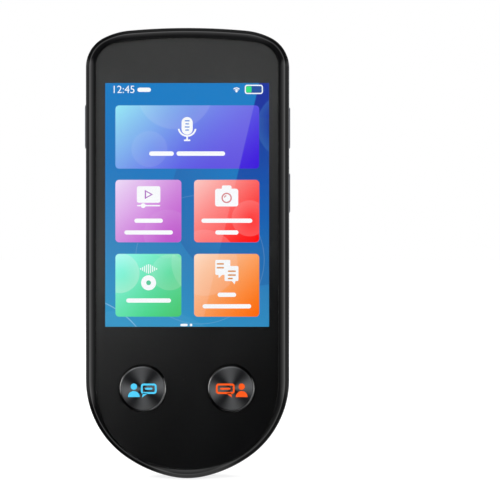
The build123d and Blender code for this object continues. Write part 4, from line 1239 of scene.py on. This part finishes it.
class TRANSLATOR_OT_picture(bpy.types.Operator):
    """Lays the lit picture on the display panel"""

    bl_idname = "translator.picture"
    bl_label = "Picture"

    def execute(self, context):
        sizes = context.scene.translator_picture
        lit = partial(lit_material, brightness=sizes.brightness)
        paper = flat(
            "picture_wallpaper", wallpaper_material(sizes.brightness), [corners(*PICTURE)],
            *over_panel(PAPER),
        )
        mounted(paper, "housing", "display")
        if not sizes.tiles_shown:
            return {"FINISHED"}

        work = bmesh.new()
        tone = work.verts.layers.float_color.new("tile_tone")
        for x0, x1, z0, z1, light, deep in TILES:
            before, width, height = len(work.verts), x1 - x0, z1 - z0
            outline = rounded_box(
                (x0 + x1) / 2, (z0 + z1) / 2, width, height, sizes.tile_radius / MM
            )
            slab(work, outline, *over_panel(TILE))
            work.verts.ensure_lookup_table()
            for vert in work.verts[before:]:
                share = (vert.co.x - x0 + z1 - vert.co.z) / (width + height)
                ends = zip(coded(light), coded(deep))
                vert[tone] = [start + (stop - start) * share for start, stop in ends] + [1.0]
        tiles = finished("picture_tiles", work, lit("lit_tiles"))
        mounted(tiles, "housing", "display")

        work = bmesh.new()
        for shape in ICONS:
            slab(work, shape, *over_panel(ICON))
        slab(work, FRONT_SHEET, *over_panel(SHEET))
        icons = finished("picture_icons", work, lit("lit_icons", tone="#fbfcff"))
        mounted(icons, "housing", "display")
        clock = numerals(
            "picture_clock", lit("lit_clock", tone="#f4f9ff"), "12:45", -19.6, 42.35, 2.75,
            *over_panel(ICON),
        )
        mounted(clock, "housing", "display")

        for name, colour, layer, shapes in DETAILS:
            part = flat(
                f"picture_{name}", lit(f"lit_{name}", tone=colour), shapes, *over_panel(layer)
            )
            mounted(part, "housing", "display")
        return {"FINISHED"}


def printed_material(name, tone):
    """Pad-printed ink on metal: solid colour that is a little thinner here and there."""
    material, tree, shader, place = blank_material(name)
    share = fitted(tree, noise(tree, place, 0.5), low=0.86)
    feed(shader, {
        "Base Color": mixed(tree, 1.0, hue(tone), share, blend_type="MULTIPLY"),
        "Roughness": 0.4,
    })
    return material


class TRANSLATOR_OT_talk_buttons(bpy.types.Operator):
    """Turns the two talk buttons and prints a speech mark on each"""

    bl_idname = "translator.talk_buttons"
    bl_label = "Talk buttons"

    def execute(self, context):
        sizes = context.scene.translator_front
        rim, sunk, round_edge = GLASS_FRONT + 0.15, GLASS_FRONT + 0.05, 0.3
        flange, flange_front, flange_back = 6.5, 11.8, 11.3
        stem, stem_back = 1.2, 10.75
        profile = [(0, sunk), (5.3, sunk), (5.6, rim - 0.05)]
        profile += [
            (TALK_RADIUS - inward, rim - round_edge + onward)
            for inward, onward in quarter(round_edge, 6)[::-1]
        ]
        profile += [
            (TALK_RADIUS, flange_front), (flange, flange_front), (flange, flange_back),
            (stem, flange_back), (stem, stem_back), (0, stem_back),
        ]
        for side, mark_tone in (("left", sizes.left_mark), ("right", sizes.right_mark)):
            spot = TALK[side]
            # Spun steel with dark plating: fine rings and a fan of painted highlight and painted
            # shade sectors.
            spun = lathe_turned(
                f"spun_dark_steel_painted_fan_{side}", "#c2c4c7", "#46474a", 0.09, 0.42, spot.x, spot.z,
                lobes=4, lead=8, relief=0.0012, anisotropic=0.5,
            )
            # The polished edge of the same disc, with a painted highlight on its upper left and
            # lower right and painted shade at its top and bottom.
            polished = lathe_turned(
                f"polished_edge_painted_light_{side}", "#f4f4f4", "#141415", 0.3, 0.16, spot.x, spot.z,
                lobes=2, lead=158,
            )
            button = lathed(f"talk_disc_{side}", spun, spot.x, spot.z, profile)
            button.data.materials.append(polished)
            button.data.materials.append(FINISH["frame_black"])
            # Faces deeper than the rim's rounding take the black frame plastic; on the side wall
            # that shows in the gap round the button this is painted shade.
            for face in button.data.polygons:
                x, y, z = face.center / MM
                if -y < rim - 0.35:
                    face.material_index = 2
                elif Vector((x - spot.x, z - spot.z)).length > 5.62:
                    face.material_index = 1
            smooth(button, 40)
            mounted(button, f"talk_{side}", "talk_metal", f"talk_button_{side}")

            # a person and a speech bubble, the bubble on the side of the other button
            way, bubble = (1, 4.1) if side == "left" else (-1, 4.9)
            x, z = spot.x + 0.1 * way, spot.z - 0.4
            person = x - way * (bubble / 2 + 0.35)
            middle = x + way * 1.45
            outer, inner = (
                rounded_box(middle, z + 0.3, bubble + grow, 2.7 + grow, 0.75 + grow / 2)
                for grow in (0, -1.0)
            )
            shapes = [
                disc(person, z + 0.85, 0.82), band(person, z - 1.85, 0.01, 1.55, 0, 180),
                [
                    (middle - way * 1.5, z - 0.75), (middle - way * 0.3, z - 0.95),
                    (middle - way * 1.75, z - 1.95),
                ],
                rounded_box(middle, z + 0.3, bubble - 2.2, 0.5, 0.24),
            ]
            shapes += [
                [outer[step - 1], outer[step], inner[step], inner[step - 1]]
                for step in range(len(outer))
            ]
            ink = printed_material(f"pad_printed_ink_{side}", mark_tone)
            mark = flat(f"talk_mark_{side}", ink, shapes, sunk, sunk + sizes.mark_height / MM)
            mounted(mark, f"talk_{side}", "talk_metal")
        return {"FINISHED"}


class TRANSLATOR_OT_edge_keys(bpy.types.Operator):
    """Machines the four edge keys with rounded tops"""

    bl_idname = "translator.edge_keys"
    bl_label = "Edge keys"

    def execute(self, context):
        flange_width, flange_thick, round_top = 3.0, 0.6, 0.2
        for node, (body, across, upright) in KEYS.items():
            middle, length = key_place(node)
            foot, top = sorted(abs(corner.dot(upright)) for corner in node_box(node))
            stem, flange = pill(length, KEY_WIDTH), pill(length + KEY_LIPS, flange_width)
            rings = [
                (flange, foot, 0), (flange, foot + flange_thick, 0), (stem, foot + flange_thick, 0)
            ]
            rings += [
                (stem, top - round_top + onward, -inward)
                for inward, onward in quarter(round_top, 5)
            ]
            key = lofted(f"{node}_cap", FINISH["edge_keys"], [
                key_ring(outline, middle, across, upright, rise, spread)
                for outline, rise, spread in rings
            ])
            smooth(key, 35)
            mounted(key, body, "edge_keys", node)
        return {"FINISHED"}


def window_material(sizes):
    """Smoked glass window with a reflection painted under it: a lighter and a darker side split on
    a slant.
    """
    material, tree, shader, place = blank_material("window_glass_painted_reflection")
    across, up = -0.868, 0.497
    slant, split = along(tree, place, (across, 0, up)), up * (CAMERA_Z - 0.4)
    share = fitted(tree, slant, (split - 0.05) * MM, (split + 0.05) * MM)
    # the painted dark side of the reflection fades to black away from the split
    depth = fitted(tree, slant, (split - 10) * MM, split * MM, 0.2, 1.0)
    dark = mixed(tree, depth, (0.002, 0.002, 0.002, 1), hue(sizes.glare_dark))
    feed(shader, {
        "Base Color": mixed(tree, share, dark, hue(sizes.glare_light)), "Roughness": 0.35,
        "Specular IOR Level": 0.2, "Coat Weight": 0.2, "Coat Roughness": 0.03,
    })
    return material


def lens_material():
    """Coated lens: dark glass with its coating's reflection painted in as rings of blue and violet.
    """
    material, tree, shader, place = blank_material("lens_painted_coating_reflection")
    radius = length_of(tree, centred(tree, place, 0, CAMERA_Z))
    rings = toned(
        tree, fitted(tree, radius, stop=1.6 * MM), (0.0, "#56585e"), (0.3, "#6b6f78"),
        (0.36, "#3c4350"), (0.7, "#4b4f5a"), (0.76, "#2a2d35"), (1.0, "#1b1c20"),
    )
    feed(shader, {
        "Base Color": rings, "Roughness": 0.12, "Coat Weight": 1.0, "Coat Roughness": 0.02,
    })
    return material


class TRANSLATOR_OT_camera(bpy.types.Operator):
    """Turns the camera ring and fits the window, lens ring, lens and scale"""

    bl_idname = "translator.camera"
    bl_label = "Camera"

    def execute(self, context):
        sizes = context.scene.translator_camera
        seat, reach, round_edge = 0.6, 11.6, 0.45
        profile = [(10.1, seat), (reach, seat), (reach, -0.35)]
        profile += [
            (reach - inward, -0.35 - onward) for inward, onward in quarter(round_edge, 6)[1:]
        ]
        profile += [(10.62, -0.8), (10.55, -0.78), (10.15, -0.4), (10.1, -0.34)]
        ring = lathed("camera_trim_ring", FINISH["camera_metal"], 0, CAMERA_Z, profile, 160)
        ring.data.materials.append(lathe_turned(
            "diamond_cut_chamfer", "#fdfdfd", "#f2f2f4", 0.1, 0.12, 0, CAMERA_Z, anisotropic=0.3
        ))
        for face in ring.data.polygons:
            x, y, z = face.center / MM
            if Vector((x, z - CAMERA_Z)).length < 10.6 and y > 0.3:
                face.material_index = 1
        smooth(ring)
        mounted(ring, "housing", "camera_metal", "camera_ring")

        window = [
            (2.25, seat), (10.0, seat), (10.0, -0.2), (9.97, -0.27), (9.9, -0.3), (2.3, -0.3),
            (2.25, -0.25),
        ]
        collar = [
            (1.3, seat), (2.2, seat), (2.2, -0.34), (2.17, -0.39), (2.1, -0.42), (1.7, -0.42),
            (1.63, -0.39), (1.6, -0.34), (1.6, 0.3), (1.3, 0.3),
        ]
        lens, crown, steps = 1.55, 0.15, 10
        dome = [(0, 0.3), (lens, 0.3)]
        dome += [
            (lens * step / steps, -0.3 + crown * (step / steps) ** 2)
            for step in range(steps, -1, -1)
        ]
        for name, material, profile, facets, sharp, slot, node in (
            ("camera_window_glass", window_material(sizes), window, 128, 30, "camera_glass",
             "camera_window"),
            ("lens_collar", FINISH["lens_ring"], collar, 96, 30, "lens_ring", "lens_ring"),
            ("lens_dome", lens_material(), dome, 64, 40, "lens", "camera_lens"),
        ):
            piece = lathed(name, material, 0, CAMERA_Z, profile, facets)
            smooth(piece, sharp)
            mounted(piece, "housing", slot, node)

        marks = seeded("window_scale_marks", [(0, 0, 0)], FINISH["lens_ring"], scale_tree(), {
            "Middle": (0, 0.302 * MM, CAMERA_Z * MM), "Radius": sizes.tick_radius,
            "Marks": sizes.tick_count, "Start angle": radians(-20), "Sweep": radians(220),
        })
        mounted(marks, "housing", "lens_ring")
        return {"FINISHED"}


class TRANSLATOR_OT_inner(bpy.types.Operator):
    """Drives the board screws and fits the socket's contacts"""

    bl_idname = "translator.inner"
    bl_label = "Inner pieces"

    def execute(self, context):
        seat = -7.5
        places = [
            (-17.0, seat, 29.2), (17.0, seat, 29.2), (0, seat, 50.6), (-17.5, seat, -27.5),
            (17.5, seat, -27.5), (-9.0, seat, -45.5), (9.0, seat, -45.5),
        ]
        screws = seeded("board_screw_set", places, FINISH["screws"], screw_tree(), {
            "Head radius": 1.3 * MM, "Head height": 0.6 * MM, "Shank radius": 0.7 * MM,
            "Shank length": 2.0 * MM,
        })
        smooth(screws, 35)
        mounted(screws, "housing", "screws", "board_screws")

        # Gold-plated phosphor bronze: warm and bright.
        gold = grained("gold_plated_bronze", "#e3b866", "#d3a552", 0.2, (0.18, 0.26), 1.0)
        faces = [(-2.75, USB.y + side, -55.0) for side in (-0.36, 0.36)]
        contacts = seeded("socket_contacts", faces, gold, contact_tree(), {
            "Pitch": 0.5 * MM, "Contacts": 12,
        })
        mounted(contacts, "housing", "socket")
        return {"FINISHED"}


def hide_behind_glass(light):
    """Takes away a lamp's glints in the edges of the cover glass; what the glass covers stays
    lit."""
    light.use_nodes = True
    tree = light.node_tree
    tree.nodes.clear()
    ray = add_node(tree, "ShaderNodeLightPath").outputs
    glint = calculated(
        tree, "MULTIPLY_ADD", ray["Diffuse Depth"], -8.0, ray["Transmission Depth"],
        use_clamp=True,
    )
    level = calculated(tree, "SUBTRACT", 1.0, glint)
    glow = add_node(tree, "ShaderNodeEmission", {"Strength": level})
    add_node(tree, "ShaderNodeOutputLight", {0: glow.outputs[0]})


def floor_material(sizes):
    """Pale matt floor: part plain paint that takes the shadow, part white that the camera
    sees."""
    material, tree, shader, place = blank_material("pale_studio_floor")
    feed(shader, {
        "Base Color": mixed(
            tree, noise(tree, place, 25), (0.3, 0.3, 0.3, 1), (0.32, 0.32, 0.32, 1)
        ),
        "Roughness": 1.0, "Specular IOR Level": 0.0,
    })
    ray = add_node(tree, "ShaderNodeLightPath").outputs
    far = fitted(
        tree, length_of(tree, place), 0.05, 0.45, 0.8, 0.96, interpolation_type="SMOOTHSTEP"
    )
    level = calculated(tree, "MULTIPLY", ray["Is Camera Ray"], far)
    glow = add_node(
        tree, "ShaderNodeEmission", {"Color": hue(sizes.floor_colour), "Strength": level}
    )
    both = add_node(tree, "ShaderNodeAddShader", {0: shader.outputs[0], 1: glow.outputs[0]})
    output = next(node for node in tree.nodes if node.type == "OUTPUT_MATERIAL")
    feed(output, {0: both.outputs[0]})
    return material


def studio_world(sizes):
    """White backdrop for the eye, even light on matt surfaces, and for gloss a light tent that is
    open where the camera stands, dark low at the sides, with one soft box up left of the camera."""
    world = bpy.data.worlds.new("studio")
    world.use_nodes = True
    tree = world.node_tree
    tree.nodes.clear()
    calc = partial(calculated, tree)
    ease = partial(fitted, tree, interpolation_type="SMOOTHSTEP")
    way = add_node(tree, "ShaderNodeTexCoord").outputs["Generated"]
    x, y, z = add_node(tree, "ShaderNodeSeparateXYZ", {0: way}).outputs

    # the tent, open where the camera stands
    tent = fitted(tree, y, -1.0, -0.05, 0.09, 1.25)
    tent = calc("MULTIPLY", tent, ease(y, -0.97, -0.93, 0.3, 1.0))
    # its dark parts: behind, and low and high at the sides
    back_dark = calc("MULTIPLY", ease(y, 0.5, 0.72, 0.0, 0.95), ease(y, 0.88, 0.97, 1.0, 0.0))
    low_angle = calc("ARCTAN2", calc("MULTIPLY", z, -1.0), calc("ABSOLUTE", x))
    low_dark = calc(
        "MULTIPLY", ease(low_angle, radians(12), radians(24), 0.0, 1.0),
        ease(low_angle, radians(64), radians(76), 1.0, 0.0),
    )
    low_dark = calc("MULTIPLY", low_dark, ease(x, -0.05, 0.05, 0.97, 0.75))
    high_dark = calc(
        "MULTIPLY", ease(low_angle, radians(-26), radians(-14), 1.0, 0.0),
        ease(low_angle, radians(-82), radians(-60), 0.5, 0.93),
    )
    side_dark = calc("MULTIPLY", calc("ADD", low_dark, high_dark), ease(y, 0.55, 0.95, 1.0, 0.0))
    side_dark = calc("MULTIPLY", side_dark, ease(y, 0.15, 0.5, 1.0, 0.5))
    back_low = calc("MULTIPLY", ease(y, 0.85, 0.95, 0.0, 1.0), ease(z, -0.25, 0.12, 0.7, 0.0))
    dark = calc("MAXIMUM", calc("MAXIMUM", side_dark, back_dark), back_low)
    tent = calc("MULTIPLY", tent, calc("SUBTRACT", 1.0, dark))
    below = calc(
        "MULTIPLY", ease(low_angle, radians(68), radians(79), 0.0, 1.0),
        ease(y, -0.96, -0.92, 0.0, 1.0),
    )
    below = calc("MULTIPLY", below, ease(y, 0.35, 0.6, 1.0, 0.0))
    tent = calc(
        "ADD", calc("MULTIPLY", tent, calc("SUBTRACT", 1.0, below)),
        calc("MULTIPLY", below, ease(y, -0.95, 0.0, 1.25, 0.4)),
    )
    # the soft box up left of the camera
    box = fitted(tree, calc("SUBTRACT", x, z), 0.2, -0.12)
    box = calc("MULTIPLY", calc("POWER", box, 2.2), ease(y, -0.962, -0.95, 0.2, 0.0))
    gloss = calc("ADD", tent, box)

    # what each kind of ray meets: gloss the tent, matt surfaces the room, the eye plain white
    ray = add_node(tree, "ShaderNodeLightPath").outputs
    mirrored = calc("MINIMUM", ray["Glossy Depth"], 1.0)
    through = ray["Is Transmission Ray"]
    shiny = calc("MAXIMUM", ray["Is Glossy Ray"], calc("MULTIPLY", through, mirrored))
    clear = calc("MULTIPLY", through, calc("SUBTRACT", 1.0, mirrored))
    seen = calc("MAXIMUM", ray["Is Camera Ray"], clear)
    room = calc("MULTIPLY", ray["Is Diffuse Ray"], sizes.room_level)
    level = calc("MAXIMUM", calc("MULTIPLY_ADD", shiny, gloss, room), seen)
    sky = add_node(tree, "ShaderNodeBackground", {"Strength": level, "Color": (1, 1, 1, 1)})
    add_node(tree, "ShaderNodeOutputWorld", {0: sky.outputs[0]})
    return world


class TRANSLATOR_OT_stage(bpy.types.Operator):
    """Sets the camera, lamps, floor and backdrop"""

    bl_idname = "translator.stage"
    bl_label = "Stage"

    def execute(self, context):
        sizes = context.scene.translator_stage
        scene = context.scene
        camera = linked("camera", bpy.data.cameras.new("camera"))
        camera.location = sizes.camera_place
        camera.rotation_euler = (pi / 2, 0, 0)
        camera.data.lens = sizes.camera_lens
        camera.data.sensor_width = 36
        camera.data.clip_start, camera.data.clip_end = 0.01, 20
        scene.camera = camera

        for name, place, size, power in (
            ("key_lamp", (-0.35, -0.8, 0.65), 0.5, 10.0),
            ("fill_lamp", (0.4, -0.8, 0.3), 0.6, 3.5),
            ("back_lamp", (-0.16, 0.32, 0.3), 0.15, 2.0),
            ("back_fill_lamp", (0.5, 0.6, 0.1), 0.4, 0.8),
        ):
            light = bpy.data.lights.new(name, "AREA")
            light.size = size
            light.energy = power * sizes.lamp_level
            hide_behind_glass(light)
            lamp = linked(name, light)
            lamp.location = place
            lamp.rotation_mode = "QUATERNION"
            lamp.rotation_quaternion = Vector(place).to_track_quat("Z", "Y")
            lamp.visible_glossy = False
            lamp.visible_camera = False

        reach, ground = 6.0, COVER_LOW.z * MM - 0.0001
        mesh = bpy.data.meshes.new("floor")
        mesh.from_pydata(
            [(x, y, ground) for x, y in corners(-reach, reach, -reach, reach)], [], [(0, 1, 2, 3)]
        )
        mesh.materials.append(floor_material(sizes))
        floor = linked("floor", mesh)
        floor.visible_glossy = False
        floor.visible_transmission = False
        scene.world = studio_world(sizes)
        scene.view_settings.view_transform = "Standard"
        return {"FINISHED"}


class TRANSLATOR_PT_panel(bpy.types.Panel):
    """Lists the pieces of the translator with their sizes and colours"""

    bl_idname = "TRANSLATOR_PT_panel"
    bl_label = "Handheld translator"
    bl_space_type = "VIEW_3D"
    bl_region_type = "UI"
    bl_category = "Translator"

    def draw(self, context):
        for title, group, operators in GROUPS:
            box = self.layout.box()
            box.label(text=title)
            settings = getattr(context.scene, group)
            for name in settings.bl_rna.properties.keys():
                if name not in ("rna_type", "name"):
                    box.prop(settings, name)
            for operator in operators:
                box.operator(operator)


GROUPS = (
    ("Back cover", "translator_shell", ("translator.finishes", "translator.shell")),
    (
        "Front", "translator_front",
        ("translator.frame", "translator.glass", "translator.talk_buttons"),
    ),
    ("Display", "translator_picture", ("translator.picture",)),
    (
        "Camera", "translator_camera",
        ("translator.camera", "translator.edge_keys", "translator.inner"),
    ),
    ("Stage", "translator_stage", ("translator.stage",)),
)
SETTINGS = {
    "translator_shell": TranslatorShell,
    "translator_front": TranslatorFront,
    "translator_picture": TranslatorPicture,
    "translator_camera": TranslatorCamera,
    "translator_stage": TranslatorStage,
}
CLASSES = (
    *SETTINGS.values(),
    TRANSLATOR_OT_finishes,
    TRANSLATOR_OT_shell,
    TRANSLATOR_OT_frame,
    TRANSLATOR_OT_glass,
    TRANSLATOR_OT_picture,
    TRANSLATOR_OT_talk_buttons,
    TRANSLATOR_OT_edge_keys,
    TRANSLATOR_OT_camera,
    TRANSLATOR_OT_inner,
    TRANSLATOR_OT_stage,
    TRANSLATOR_PT_panel,
)


def register():
    for item in CLASSES:
        bpy.utils.register_class(item)
    for name, group in SETTINGS.items():
        setattr(bpy.types.Scene, name, PointerProperty(type=group))


def unregister():
    for name in SETTINGS:
        delattr(bpy.types.Scene, name)
    for item in reversed(CLASSES):
        bpy.utils.unregister_class(item)


def main():
    register()
    bpy.ops.translator.stage()
    bpy.ops.translator.finishes()
    bpy.ops.translator.shell()
    bpy.ops.translator.frame()
    bpy.ops.translator.glass()
    bpy.ops.translator.picture()
    bpy.ops.translator.talk_buttons()
    bpy.ops.translator.edge_keys()
    bpy.ops.translator.camera()
    bpy.ops.translator.inner()


if __name__ == "__main__":
    main()
